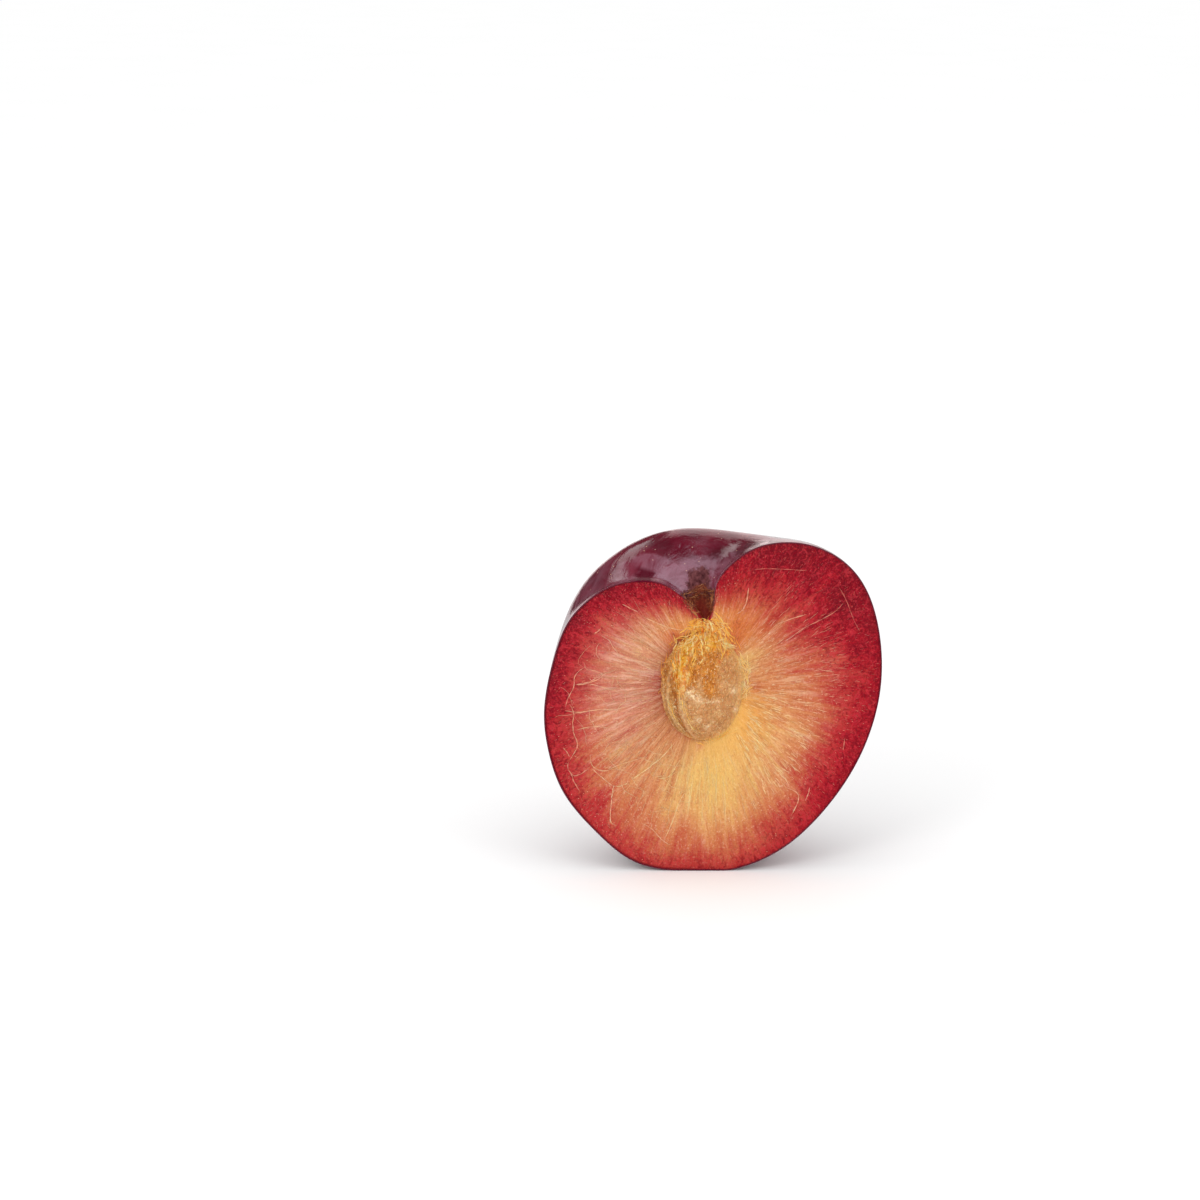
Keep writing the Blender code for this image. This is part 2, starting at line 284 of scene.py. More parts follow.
# Spots on the stone, as seen from in front: distance to the dorsal side, height and reach
STONE_SPOTS = {
    # pale: small raised lumps of pulp, painted whitish as painted highlights
    "pale": [
        (-2.6, 33.3, 0.8), (-1.8, 32.4, 0.7), (-0.8, 31.8, 0.5), (0.3, 31.6, 0.4), (1.3, 31.5, 0.4),
        (2.3, 31.4, 0.4), (-1.0, 28.1, 0.5), (0.5, 26.7, 0.5), (-0.2, 43.0, 0.7), (3.4, 42.0, 0.5),
        (5.2, 33.0, 0.5), (5.6, 29.4, 0.6),
    ],
    "russet": [(3.6, 39.7, 0.5), (2.6, 38.4, 0.3)],
    "gilt": [
        (-2.4, 41.4, 0.6), (-3.1, 40.2, 0.6), (-3.8, 39.0, 0.6), (-4.2, 37.8, 0.5), (-4.4, 36.5, 0.5),
        (0.4, 42.2, 0.6), (1.5, 41.2, 0.5),
    ],
}

# Colours from ripeness 0 to 1: of the flesh, of the pale hairs in it, and of the threads that lie on it
FLESH_STOPS = [
    (0.0, (220, 172, 102)), (0.25, (206, 134, 86)), (0.45, (190, 98, 66)), (0.6, (178, 56, 50)),
    (0.78, (158, 6, 28)), (0.92, (136, 0, 24)), (1.0, (110, 0, 20)),
]
HAIR_STOPS = [(0.0, (250, 220, 148)), (0.4, (236, 190, 160)), (0.7, (194, 66, 62)), (1.0, (168, 18, 38))]
THREAD_STOPS = [(0.0, (255, 228, 158)), (0.5, (252, 206, 166)), (0.8, (228, 128, 112)), (1.0, (206, 88, 84))]

# Colours of strands by their tone
PULP_STOPS = [(0.0, (212, 96, 12)), (0.4, (252, 162, 52)), (0.8, (255, 190, 92)), (1.0, (255, 220, 152))]
SCAR_STOPS = [(0.0, (70, 18, 8)), (0.6, (122, 54, 24)), (1.0, (184, 116, 66))]

# Colours of the skin, of the stain and the bark round the stem pit, and of the stone, by their noise
SKIN_STOPS = [(0.3, (72.1, 6.6, 22.0)), (0.5, (93.2, 9.9, 31.4)), (0.72, (114.5, 15.6, 38.7))]
# Mauve of the wax bloom, also painted on as sheen where the softboxes' reflections fall
BLOOM_SHEEN = (163.8, 114.5, 131.8)
STAIN_STOPS = [(0.35, (64, 20, 24)), (0.7, (118, 66, 68))]
BARK_STOPS = [(0.3, (58, 14, 10)), (0.5, (104, 42, 26)), (0.72, (158, 88, 52))]
SHELL_STOPS = [(0.3, (178, 106, 56)), (0.5, (208, 144, 88)), (0.7, (238, 186, 128))]
FILM_STOPS = [(0.35, (176, 94, 28)), (0.5, (206, 126, 46)), (0.65, (236, 164, 78))]
KEEL_STOPS = [(0.3, (150, 84, 34)), (0.7, (216, 162, 96))]
AMBER_STOPS = [(0.34, (206, 96, 10)), (0.48, (248, 156, 42)), (0.64, (255, 218, 132))]

CAMERA_PITCH = 13.3  # degrees that the camera looks down
CAMERA_DISTANCE = 0.5926  # metres along its axis to the foot of the cut face
LENS = 100.0
SENSOR = 36.0
PHOTO_SIZE = 1200
FOOT_PIXEL = (703, 870.5)  # where the foot of the cut face is in the photograph

TABLE_HALF = 3.0
TABLE_FRONT = 0.18
TABLE_DROP = 0.00005  # how far it lies under the fruit
WORLD_SEEN, WORLD_MIRRORED, WORLD_CAST = 1.05, 0.07, 1.06  # brightness as seen, mirrored and as light

# Softboxes: name, place, size in metres, brightness, tint, whether it lights the fruit up or is only mirrored
# in its skin, and the point that it faces, or None for straight down
WHITE, COOL, ROSY = (1, 1, 1), (0.94, 0.94, 1.1), (1.06, 0.86, 0.86)
FRUIT = (0, 0, 0.03)
SOFTBOXES = [
    ("key", (-0.4, -0.6, 0.45), (0.3, 0.3), 5.0, WHITE, True, FRUIT),
    ("fill", (0.6, -0.5, 0.3), (0.3, 0.3), 2.6, WHITE, True, FRUIT),
    ("overhead", (0.52, -0.05, 0.8), (0.8, 1.1), 2.3, COOL, False, None),
    ("near overhead", (-0.05, -0.32, 0.8), (0.36, 0.6), 1.8, COOL, False, None),
    ("left", (-0.72, -0.02, 0.8), (0.98, 0.36), 1.6, COOL, False, None),
    ("back left", (-0.33, 0.7, 0.8), (0.26, 0.7), 2.0, WHITE, False, None),
    ("backdrop", (0.16, 1.0, 0.5), (0.44, 1.0), 1.2, ROSY, False, FRUIT),
    ("low backdrop", (-0.2, 1.0, 0.08), (0.4, 0.2), 1.1, ROSY, False, FRUIT),
]


# Shapes


def spline(points, knots, at):
    """Natural cubic spline through the points at their knots, read at the parameters in at."""
    points = np.asarray(points, float)
    gaps = np.diff(knots)
    slopes = np.diff(points, axis=0) / gaps[:, None]
    count = len(knots)
    matrix = np.eye(count)
    right = np.zeros_like(points)
    for i in range(1, count - 1):
        matrix[i, i - 1 : i + 2] = gaps[i - 1], 2 * (gaps[i - 1] + gaps[i]), gaps[i]
        right[i] = 6 * (slopes[i] - slopes[i - 1])
    bends = np.linalg.solve(matrix, right)
    at = np.asarray(at, float)
    flat = at.ravel()
    span = np.clip(np.searchsorted(knots, flat, side="right") - 1, 0, count - 2)
    gap = gaps[span][:, None]
    after = (flat - knots[span])[:, None] / gap
    before = 1 - after
    read = (
        before * points[span]
        + after * points[span + 1]
        + gap**2 / 6 * ((before**3 - before) * bends[span] + (after**3 - after) * bends[span + 1])
    )
    return read.reshape(at.shape + (points.shape[1],))


def lengths(points):
    """Distance walked along a line of points, from 0."""
    return np.concatenate([[0], np.cumsum(np.linalg.norm(np.diff(points, axis=0), axis=1))])


def smooth_line(points, count):
    """A smooth line of that many points through the given ones."""
    points = np.asarray(points, float)
    knots = lengths(points)
    return spline(points, knots, np.linspace(0, knots[-1], count))


def smoothstep(low, high, value):
    """0 up to low, 1 from high, and a smooth rise between."""
    share = np.clip((value - low) / (high - low), 0, 1)
    return share * share * (3 - 2 * share)


def fruit_knots():
    """Knots from 0 to 1, by the mean distance between the profiles' neighbouring points."""
    steps = np.mean([np.linalg.norm(np.diff(profile, axis=0), axis=1) for profile in PROFILES], axis=0)
    knots = np.concatenate([[0], np.cumsum(np.sqrt(steps))])
    return knots / knots[-1]


def fruit_points(shares, angles):
    """Points of the fruit's skin, a row for each share of the way down and a column for each angle."""
    knots = fruit_knots()
    dorsal, dorsal_cheek, suture_cheek, suture = (spline(profile, knots, shares) for profile in PROFILES)
    broad = CLEFT_BROAD + (1 - CLEFT_BROAD) * smoothstep(*CLEFT_FADES, shares)[:, None]
    unsunk = suture_cheek + (suture - suture_cheek) * broad
    orders = np.arange(len(PROFILE_ANGLES))
    at_profiles = np.cos(np.outer(np.radians(PROFILE_ANGLES), orders))
    series = np.cos(np.outer(angles, orders)) @ np.linalg.inv(at_profiles)
    skin = np.einsum("ap,psc->sac", series, np.stack([dorsal, dorsal_cheek, suture_cheek, unsunk]))
    facing = np.minimum(np.cos(angles), 0) ** 2
    cleft = np.exp(-((suture[:, :1] * np.sin(angles) / CLEFT_WIDTH) ** 2)) * facing
    skin = skin + cleft[..., None] * (suture - unsunk)[:, None, :]
    radius, height = skin[..., 0], skin[..., 1]
    return np.stack([radius * np.cos(angles), radius * np.sin(angles), height], axis=-1)


def stone_points(shares, angles, lift=0.0):
    """Points of the stone's surface, or of one that lies lift outside it, for arrays of shares down it and
    angles round it."""
    shares, angles, lift = np.broadcast_arrays(np.asarray(shares, float), angles, lift)
    knots = lengths(np.asarray(STONE_PROFILE, float))
    radius, height = np.moveaxis(spline(STONE_PROFILE, knots / knots[-1], shares), -1, 0)
    top, bottom = STONE_PROFILE[0][1], STONE_PROFILE[-1][1]
    middle = (top + bottom) / 2
    height = height + (height - middle) / (top - middle) * lift
    from_keel = np.degrees(np.angle(np.exp(1j * (angles - math.pi)))) / KEEL_HALF_ANGLE
    ridges = np.cos(math.pi * from_keel) * np.exp(-((from_keel / KEEL_REACH) ** 4))
    fade = np.sin(math.pi * np.clip(shares, 0, 1))
    relief = KEEL_HEIGHT / 2 * ridges * fade**0.7 + lift * fade**0.3
    across = (radius + relief) * np.cos(angles)
    through = (radius * STONE_FLATNESS + relief) * np.sin(angles)
    points = np.stack([across, through, height], axis=-1)
    return points @ np.array(Matrix.Rotation(math.radians(STONE_TURN), 3, "Z")).T


TILT = np.array(Matrix.Rotation(-math.radians(LEAN), 3, "X"))
SHIFT = np.array([0, -SETBACK, 0])
FRONT = TILT @ np.array([0, -1, 0])  # out of the cut face


def lean_back(points):
    """Fruit frame to the row frame, still in millimetres."""
    return points @ TILT.T + SHIFT


def to_fruit(points):
    """Row frame back to the fruit frame."""
    return (points - SHIFT) @ TILT


def pressed(points):
    """The points with those under the floor's level pressed up to it, as where the half rests."""
    height = points[..., 2]
    blended = (height + PRESS_BLEND) ** 2 / (4 * PRESS_BLEND)
    flat = np.where(height > PRESS_BLEND, height, np.where(height < -PRESS_BLEND, 0, blended))
    return np.concatenate([points[..., :2], flat[..., None]], axis=-1)


def even_shares(count):
    """Shares down the fruit whose rows are evenly spaced on its skin."""
    dense = np.linspace(0, 1, 4001)
    rows = fruit_points(dense, np.radians([0, 90, 180]))
    walked = np.concatenate([[0], np.cumsum(np.linalg.norm(np.diff(rows, axis=0), axis=2).mean(axis=1))])
    return np.interp(np.linspace(0, walked[-1], count + 1), walked, dense)


def skin_grid(shares, columns):
    """Points and outward normals of the half's skin in the row frame, from the dorsal edge of the cut face
    round the back to the suture edge."""
    points = pressed(lean_back(fruit_points(shares, np.linspace(0, math.pi, columns + 1))))
    down = np.gradient(points, axis=0)
    round_ = np.gradient(points, axis=1)
    normals = np.cross(down, round_)
    for pole, beside in ((0, 2), (-1, -3)):
        normals[pole] = normals[beside].sum(axis=0)
    for edge in (0, -1):
        normals[:, edge] -= (normals[:, edge] @ FRONT)[:, None] * FRONT
    return points, normals / np.linalg.norm(normals, axis=-1, keepdims=True)


def face_angle(points):
    """Angle round the face of points in the fruit frame, from straight up, 0 to pi down either side."""
    return np.arctan2(np.abs(points[..., 0]), points[..., 2] - FACE_CENTRE)


def rim_places(outline, side):
    """(shares, angles) on the stone where the socket's rim meets each row of the outline."""
    around = np.radians(np.linspace(*RIM_ANGLES[side], 181))
    shares = np.linspace(0, 1, 400)
    level = -side * CLINGS[side] * np.sin(math.pi * shares) ** 0.8
    depth = stone_points(shares[:, None], around[None, :], CLEARANCES[side])[..., 1] * side
    at_cut = np.array([np.interp(height, row, around) for height, row in zip(level, depth)])
    rim = stone_points(shares, at_cut, CLEARANCES[side])
    rim_turn = np.maximum.accumulate(face_angle(rim))
    outline_turn = np.maximum.accumulate(face_angle(outline))
    evenly = np.linspace(0, math.pi, len(outline))
    turn = (1 - RIM_EVENNESS) * outline_turn / outline_turn[-1] * math.pi + RIM_EVENNESS * evenly
    places = np.interp(turn, rim_turn / rim_turn[-1] * math.pi, shares)
    places[0], places[-1] = 0, 1
    return places, np.interp(places, shares, at_cut)


def noise_at(points, size, seed):
    """Smooth noise from -1 to 1 with features of that size, one value for each point."""
    shift = Vector((seed * 17.3, seed * 5.1, seed * 9.7))
    flat = points.reshape(-1, 3) / size
    return np.array([noise.noise(Vector(point) + shift) for point in flat]).reshape(points.shape[:-1])


# Meshes


def mesh_object(name, points, faces, attributes, material):
    """A smooth mesh object from points in millimetres, whose attributes hold a number or a vector a point."""
    mesh = bpy.data.meshes.new(name)
    mesh.from_pydata((points * MM).tolist(), [], faces)
    for key, values in attributes.items():
        if values.ndim == 1:
            mesh.attributes.new(key, "FLOAT", "POINT").data.foreach_set("value", values.astype(np.float32))
        else:
            layer = mesh.attributes.new(key, "FLOAT_VECTOR", "POINT")
            layer.data.foreach_set("vector", values.astype(np.float32).ravel())
    work = bmesh.new()
    work.from_mesh(mesh)
    bmesh.ops.remove_doubles(work, verts=work.verts, dist=1e-6)
    bmesh.ops.recalc_face_normals(work, faces=work.faces)
    work.to_mesh(mesh)
    work.free()
    mesh.shade_smooth()
    mesh.materials.append(material)
    piece = bpy.data.objects.new(name, mesh)
    bpy.context.scene.collection.objects.link(piece)
    return piece


def ring_faces(rows, ring):
    """Quads between neighbouring rows of points, each row a closed ring."""
    row, column = np.meshgrid(np.arange(rows - 1), np.arange(ring), indexing="ij")
    beside = (column + 1) % ring
    corners = [row * ring + column, (row + 1) * ring + column, (row + 1) * ring + beside, row * ring + beside]
    return np.stack(corners, axis=-1).reshape(-1, 4).tolist()


def ring_object(name, points, attributes, material):
    """A closed mesh from rows of rings of points, whose first and last rings close on themselves."""
    rows, ring = points.shape[:2]
    flat = {}
    for key, values in attributes.items():
        flat[key] = values.reshape(rows * ring, *values.shape[2:])
    return mesh_object(name, points.reshape(-1, 3), ring_faces(rows, ring), flat, material)


def tubes(paths, sides):
    """(points, faces, attributes) of tapered tubes along paths, each (points, radii, tone, ripeness)."""
    all_points, all_faces, tones, ripes = [], [], [], []
    start = 0
    turn = np.arange(sides) * 2 * math.pi / sides
    for line, radii, tone, ripe in paths:
        tangent = np.gradient(line, axis=0)
        tangent /= np.linalg.norm(tangent, axis=1, keepdims=True)
        side = np.cross(tangent, FRONT + np.array([0.01, 0, 0.02]))
        side /= np.linalg.norm(side, axis=1, keepdims=True)
        up = np.cross(side, tangent)
        ring = side[:, None] * np.cos(turn)[None, :, None] + up[:, None] * np.sin(turn)[None, :, None]
        points = line[:, None] + ring * radii[:, None, None]
        all_points.append(points.reshape(-1, 3))
        faces = ring_faces(len(line), sides)
        last = (len(line) - 1) * sides
        faces += [list(range(sides)), list(range(last, last + sides))[::-1]]
        all_faces += [[start + corner for corner in face] for face in faces]
        count = len(line) * sides
        tones.append(np.full(count, tone))
        ripes.append(np.full(count, ripe))
        start += count
    attributes = {"tone": np.concatenate(tones), "ripe": np.concatenate(ripes)}
    return np.concatenate(all_points), all_faces, attributes


def tube_object(name, paths, material, sides=6):
    """One mesh object of all the tubes along the paths."""
    points, faces, attributes = tubes(paths, sides)
    return mesh_object(name, points, faces, attributes, material)


# Fields on the cut face


def ripeness(angles, depths):
    """How red the flesh is at angles in degrees and at depths."""
    known = sorted(RIPENESS)
    table = np.array([RIPENESS[angle] for angle in known])
    table = np.concatenate([table, table[:1]])
    place = (np.asarray(angles) % 360) / (360 / len(known))
    low = np.floor(place).astype(int) % len(known)
    mix = smoothstep(0, 1, place - np.floor(place))
    read = np.stack([np.interp(depths, RIPENESS_DEPTHS, row) for row in table])
    index = np.arange(depths.size).reshape(depths.shape)
    flat = read.reshape(len(table), -1)
    return (1 - mix) * flat[low, index] + mix * flat[low + 1, index]


def patch(angles, depths, angle, depth, angle_reach, depth_reach):
    """A soft spot on the face, 1 at that angle and depth and fading out within those reaches."""
    turned = (angles - angle + 180) % 360 - 180
    return np.exp(-((turned / angle_reach) ** 2) - ((depths - depth) / depth_reach) ** 2)


# Pieces of the fruit


def skin_piece(material):
    """The skin as a thin closed shell whose edge shows round the cut face."""
    shares = even_shares(SKIN_ROWS)
    outer, _ = skin_grid(shares, SKIN_COLUMNS)
    base, normals = skin_grid(shares, SKIN_INNER_COLUMNS)
    inner = (base - normals * SKIN_THICKNESS)[:, ::-1]
    proud = SKIN_RIM_PROUD * FRONT
    suture_rim = (outer[:, -1:] + inner[:, :1]) / 2 + proud
    dorsal_rim = (outer[:, :1] + inner[:, -1:]) / 2 + proud
    ring = np.concatenate([outer, suture_rim, inner, dorsal_rim], axis=1)
    down = np.interp(shares, fruit_knots(), np.arange(len(DORSAL)))
    down = np.broadcast_to(down[:, None], ring.shape[:2])
    rim = np.zeros(ring.shape[:2])
    rim[:, SKIN_COLUMNS + 1 :] = 1
    there = np.linspace(0, math.pi, SKIN_COLUMNS + 1)
    back = np.linspace(math.pi, 0, SKIN_INNER_COLUMNS + 1)
    turn = np.broadcast_to(np.concatenate([there, [math.pi], back, [0]]), ring.shape[:2])
    lay = np.stack([LAY_RADIUS * np.cos(turn), LAY_RADIUS * np.sin(turn), down], axis=-1)
    skin = ring_object("skin", ring, {"down": down, "rim": rim, "lay": lay}, material)
    skin.data.set_sharp_from_angle(angle=math.radians(SHARP_ANGLE))
    return skin


def flesh_rows():
    """The flesh's outline, its rim at the stone and its back, row by row from the stem pit down."""
    shares = even_shares(FACE_ROWS)
    surface, normals = skin_grid(shares, BACK_COLUMNS)
    back = surface - normals * SKIN_THICKNESS * FLESH_SINK
    outline = fruit_points(shares, np.array([0, math.pi]))
    right = rim_places(outline[:, 0], 1)
    left = rim_places(outline[:, 1], -1)
    return back, right, left


def face_side(edge, places, side):
    """One side of the cut face: its grid from the stone's rim out to the edge, in the row frame and in the
    fruit frame, with each point's depth, angle and flow."""
    rim = stone_points(*places, CLEARANCES[side])
    cling = -rim[:, 1]
    rim[:, 1] = 0
    depth = np.linspace(0, 1, FACE_COLUMNS + 1)[None, :] ** COLUMN_SPREAD
    start = lean_back(rim)
    grid = start[:, None] + (edge - start)[:, None] * depth[..., None]
    plain = rim[:, None] + (to_fruit(edge) - rim)[:, None] * depth[..., None]
    angle = np.degrees(np.arctan2(plain[..., 2] - FACE_CENTRE, plain[..., 0]))
    round_rim = lengths(rim)
    turn = (math.pi / 2 - side * math.pi * round_rim / round_rim[-1])[:, None]
    away = np.linalg.norm(plain - rim[:, None], axis=-1)
    flow = np.broadcast_arrays(FLOW_RADIUS * np.cos(turn), FLOW_RADIUS * np.sin(turn), away)
    depth = np.broadcast_to(depth, away.shape)
    grid = grid + (cling[:, None] * np.exp(-away / CLING_REACH))[..., None] * FRONT
    return grid, plain, depth, angle, np.stack(flow, axis=-1)


def face_relief(plain, depth, angle):
    """How far the flesh stands out of the cut plane."""
    waves = sum(height * noise_at(plain, size, seed) for height, size, seed in FACE_WAVES)
    inside = smoothstep(1.0, 0.93, depth) * smoothstep(0.0, 0.05, depth)
    under_skin = SKIN_DROOP * smoothstep(0.965, 1.0, depth)
    return waves * inside - under_skin - CREVICE * patch(angle, depth, 185, 0.0, 60, 0.03)


def face_fields(plain, depth, angle, flow):
    """Attributes of the face's points: flow, how red they are, depth, and how far in each patch they lie."""
    ripe = ripeness(angle, depth)
    for across, height, reach, redder in RIPE_SPOTS:
        gap = np.hypot(plain[..., 0] - across, plain[..., 2] - height)
        ripe = ripe + redder * np.exp(-((gap / reach) ** 2))
    fields = {"flow": flow, "ripe": ripe, "depth": depth}
    for name, places in PATCHES.items():
        strength = sum(share * patch(angle, depth, *place) for share, *place in places)
        fields[name] = np.clip(strength, 0, 1)
    return fields


def face_sides():
    """The two sides of the cut face as (grid in the row frame, points in the fruit frame, fields), and the
    flesh's back and the rows' places on the stone."""
    back, right, left = flesh_rows()
    sides = {}
    for edge, places, side in ((back[:, 0], right, 1), (back[:, -1], left, -1)):
        grid, plain, depth, angle, flow = face_side(edge, places, side)
        grid = grid + face_relief(plain, depth, angle)[..., None] * FRONT
        sides[side] = (grid, plain, face_fields(plain, depth, angle, flow))
    return sides, back, right, left


def flesh_piece(faces, material):
    """The flesh: the cut face, the socket behind the stone, and the back that the skin covers."""
    sides, back, right, left = faces
    right_grid, _, right_fields = sides[1]
    left_grid, _, left_fields = sides[-1]
    mix = np.linspace(0, 1, BOWL_COLUMNS + 1)[None, 1:-1]
    bowl_shares = left[0][:, None] * (1 - mix) + right[0][:, None] * mix
    bowl_angles = left[1][:, None] * (1 - mix) + right[1][:, None] * mix
    gap = CLEARANCES[-1] * (1 - mix) + CLEARANCES[1] * mix + SOCKET_DEPTH * np.sin(math.pi * mix)
    bowl = lean_back(stone_points(bowl_shares, bowl_angles, gap))
    back[:, 0], back[:, -1] = right_grid[:, -1], left_grid[:, -1]
    ring = np.concatenate([back, left_grid[:, -2::-1], bowl, right_grid[:, :-1]], axis=1)
    fields = {}
    for key, on_right in right_fields.items():
        on_left = left_fields[key]
        behind = np.repeat(on_right[:, -1:], BACK_COLUMNS + 1, axis=1)
        inside = np.repeat(on_right[:, :1], BOWL_COLUMNS - 1, axis=1)
        fields[key] = np.concatenate([behind, on_left[:, -2::-1], inside, on_right[:, :-1]], axis=1)
    flesh = ring_object("flesh", ring, fields, material)
    flesh.data.set_sharp_from_angle(angle=math.radians(SHARP_ANGLE))
    return flesh


def tree_of(points):
    """A search tree of points seen from in front, by distance to the dorsal side and height."""
    tree = kdtree.KDTree(len(points))
    for number, point in enumerate(points):
        tree.insert((point[0], 0, point[2]), number)
    tree.balance()
    return tree


def nearest(tree, across, height, values, reach):
    """The values' mean over the four nearest points, or None where none is within reach."""
    near = tree.find_n((across, 0, height), 4)
    if near[0][2] > reach:
        return None
    weights = np.array([1 / (gap + 0.02) for _, _, gap in near])
    return values[[number for _, number, _ in near]] @ weights / weights.sum()


def front_reader(faces, stone_rows):
    """A function from points (distance to the dorsal side, height) to the points of the face or the stone
    that lie there in the row frame, raised by a lift, and the face's ripeness there."""
    sides = faces[0].values()
    plain = np.concatenate([points.reshape(-1, 3) for _, points, _ in sides])
    grids = np.concatenate([grid.reshape(-1, 3) for grid, _, _ in sides])
    levels = grids @ FRONT - lean_back(plain) @ FRONT
    ripe = np.concatenate([fields["ripe"].ravel() for _, _, fields in sides])
    face_tree = tree_of(plain)
    shell = stone_rows.reshape(-1, 3)
    shell = shell[shell[:, 1] < 0]
    stone_tree = tree_of(shell)

    def read(line, lift=0.0):
        points, reds = [], []
        lifts = np.broadcast_to(lift, len(line))
        for (across, height), raised in zip(line, lifts):
            level = nearest(face_tree, across, height, levels, 1.5)
            on_stone = nearest(stone_tree, across, height, -shell[:, 1], 0.25)
            level = max(level or 0.0, on_stone or 0.0)
            points.append(lean_back(np.array([across, 0.0, height])) + (level + raised) * FRONT)
            reds.append(nearest(face_tree, across, height, ripe, 99))
        points = np.array(points)
        points[1:-1] = (points[:-2] + 2 * points[1:-1] + points[2:]) / 4
        return points, float(np.mean(reds))

    return read


def vein_strands(read, rng):
    """The veins, as fine threads half sunk in the cut face."""
    paths = []
    for vein in VEINS:
        line = smooth_line(vein, 9 * len(vein))
        drift = np.cumsum(rng.normal(0, VEIN_DRIFT, line.shape), axis=0)
        drift -= np.linspace(0, 1, len(line))[:, None] * drift[-1]
        widest = VEIN_RADIUS * rng.uniform(0.75, 1.15)
        points, ripe = read(line + drift, -0.3 * widest)
        ends = np.clip(np.sin(np.linspace(0.15, math.pi - 0.1, len(line))) * 1.6, 0, 1)
        radii = widest * ends * (1 + 0.35 * np.sin(np.arange(len(line)) * 0.7 + rng.uniform(0, 6)))
        paths.append((points, radii, rng.uniform(0.5, 0.75), ripe))
    return paths


def faint_vein_strands(read, rng):
    """Finer veins between the drawn ones, which wander round the stone."""
    paths = []
    for _ in range(FAINT_VEINS):
        angle = math.radians(rng.uniform(*FAINT_VEIN_ANGLES))
        heading = angle + math.pi / 2 * rng.choice((-1, 1)) + rng.normal(0, 0.6)
        reach = rng.uniform(*FAINT_VEIN_REACH)
        line = [(reach * math.cos(angle), FACE_CENTRE + reach * math.sin(angle))]
        for _ in range(rng.integers(4, 9)):
            heading += rng.normal(0, FAINT_VEIN_TURN)
            across, height = line[-1]
            line.append((
                across + FAINT_VEIN_STEP * math.cos(heading),
                height + FAINT_VEIN_STEP * math.sin(heading),
            ))
        line = smooth_line(line, 4 * len(line))
        widest = rng.uniform(*FAINT_VEIN_RADIUS)
        points, ripe = read(line, -0.1 * widest)
        radii = widest * np.sin(np.linspace(0.2, math.pi - 0.2, len(line))) ** 0.6
        paths.append((points, radii, rng.uniform(*FAINT_VEIN_TONES), ripe))
    return paths


def guided_strands(guides, read, rng):
    """Strands scattered about the guides, on the stone and across its rim."""
    paths = []
    along, laid, drawn = np.arange(GUIDE_POINTS), np.arange(STRAND_POINTS), np.arange(FINE_STRAND_POINTS)
    for guide, stray, shares, radius, tones, turn, count in guides:
        line = smooth_line(guide, GUIDE_POINTS)
        for _ in range(count):
            extent = rng.uniform(*shares)
            start = rng.uniform(0, 1 - extent)
            places = np.linspace(start, start + extent, STRAND_POINTS) * along[-1]
            part = np.stack([np.interp(places, along, line[:, axis]) for axis in (0, 1)], axis=-1)
            middle = part.mean(axis=0)
            angle = math.radians(rng.normal(0, turn))
            spin = np.array([[math.cos(angle), -math.sin(angle)], [math.sin(angle), math.cos(angle)]])
            wave = 0.05 * np.sin(laid[:, None] * rng.uniform(0.5, 1.5) + rng.uniform(0, 6, 2))
            part = middle + (part - middle) @ spin.T + wave + rng.normal(0, stray, 2)
            widest = rng.uniform(*radius) * 0.8
            points, _ = read(part, widest * rng.uniform(-0.6, 0.4))
            radii = widest * np.sin(np.linspace(0.2, math.pi - 0.2, FINE_STRAND_POINTS)) ** 0.7
            radii = radii * (1 + 0.3 * np.sin(drawn * rng.uniform(0.6, 1.6) + rng.uniform(0, 6)))
            paths.append((smooth_line(points, FINE_STRAND_POINTS), radii, rng.uniform(*tones), 0))
    return paths


def read_grid(grid, rows, columns):
    """Points of a grid between its rows and columns."""
    row, column = rows.astype(int), np.clip(columns.astype(int), 0, grid.shape[1] - 2)
    down, across = (rows - row)[:, None], (columns - column)[:, None]
    upper = grid[row, column] * (1 - across) + grid[row, column + 1] * across
    lower = grid[row + 1, column] * (1 - across) + grid[row + 1, column + 1] * across
    return upper * (1 - down) + lower * down


def face_strands(faces, rng):
    """Fine fibres that lie in the cut face and run out from the stone, and short pale flecks among them that
    are painted glints of wet juice.
    """
    paths = []
    for side, angles, depths, extents, radius, tones, count in FACE_FIBRES:
        grid, plain, fields = faces[0][side]
        middle = plain[:, MIDDLE_COLUMN]
        angle = np.degrees(np.arctan2(middle[:, 2] - FACE_CENTRE, middle[:, 0]))
        angle = angle % 360 if side < 0 else angle
        rows = np.nonzero((angle > angles[0]) & (angle < angles[1]))[0]
        for _ in range(count):
            row = rng.choice(rows)
            depth = rng.uniform(*depths)
            reach = fields["flow"][row, -1, 2]
            extent = rng.uniform(*extents) / reach
            slant = rng.normal(0, 2.0) * extent * 6
            along = np.linspace(0, 1, 5 if extent < 0.2 else 10)
            wave = 0.5 * np.sin(along * rng.uniform(2, 7) + rng.uniform(0, 6)) * min(1, 4 * extent)
            at_row = np.clip(row + slant * along + wave, 1, len(grid) - 2)
            at_depth = np.clip(depth + extent * along, 0, 0.985)
            at_column = np.interp(at_depth, fields["depth"][row], np.arange(grid.shape[1]))
            line = read_grid(grid, at_row, at_column)
            ripe = fields["ripe"][row, int(at_column.mean())]
            widest = rng.uniform(*radius)
            radii = widest * np.sin(np.linspace(0.25, math.pi - 0.25, len(along))) ** 0.8
            paths.append((line - 0.25 * widest * FRONT, radii, rng.uniform(*tones), ripe))
    return paths


def spots(points, table):
    """How much each point of the stone lies in one of the spots, from 0 to 1."""
    inside = np.zeros(points.shape[:-1])
    for across, height, reach in table:
        gap = np.hypot(points[..., 0] - across, points[..., 2] - height)
        inside += np.exp(-((gap / reach) ** 2))
    return np.clip(inside, 0, 1) * (points[..., 1] < 0)


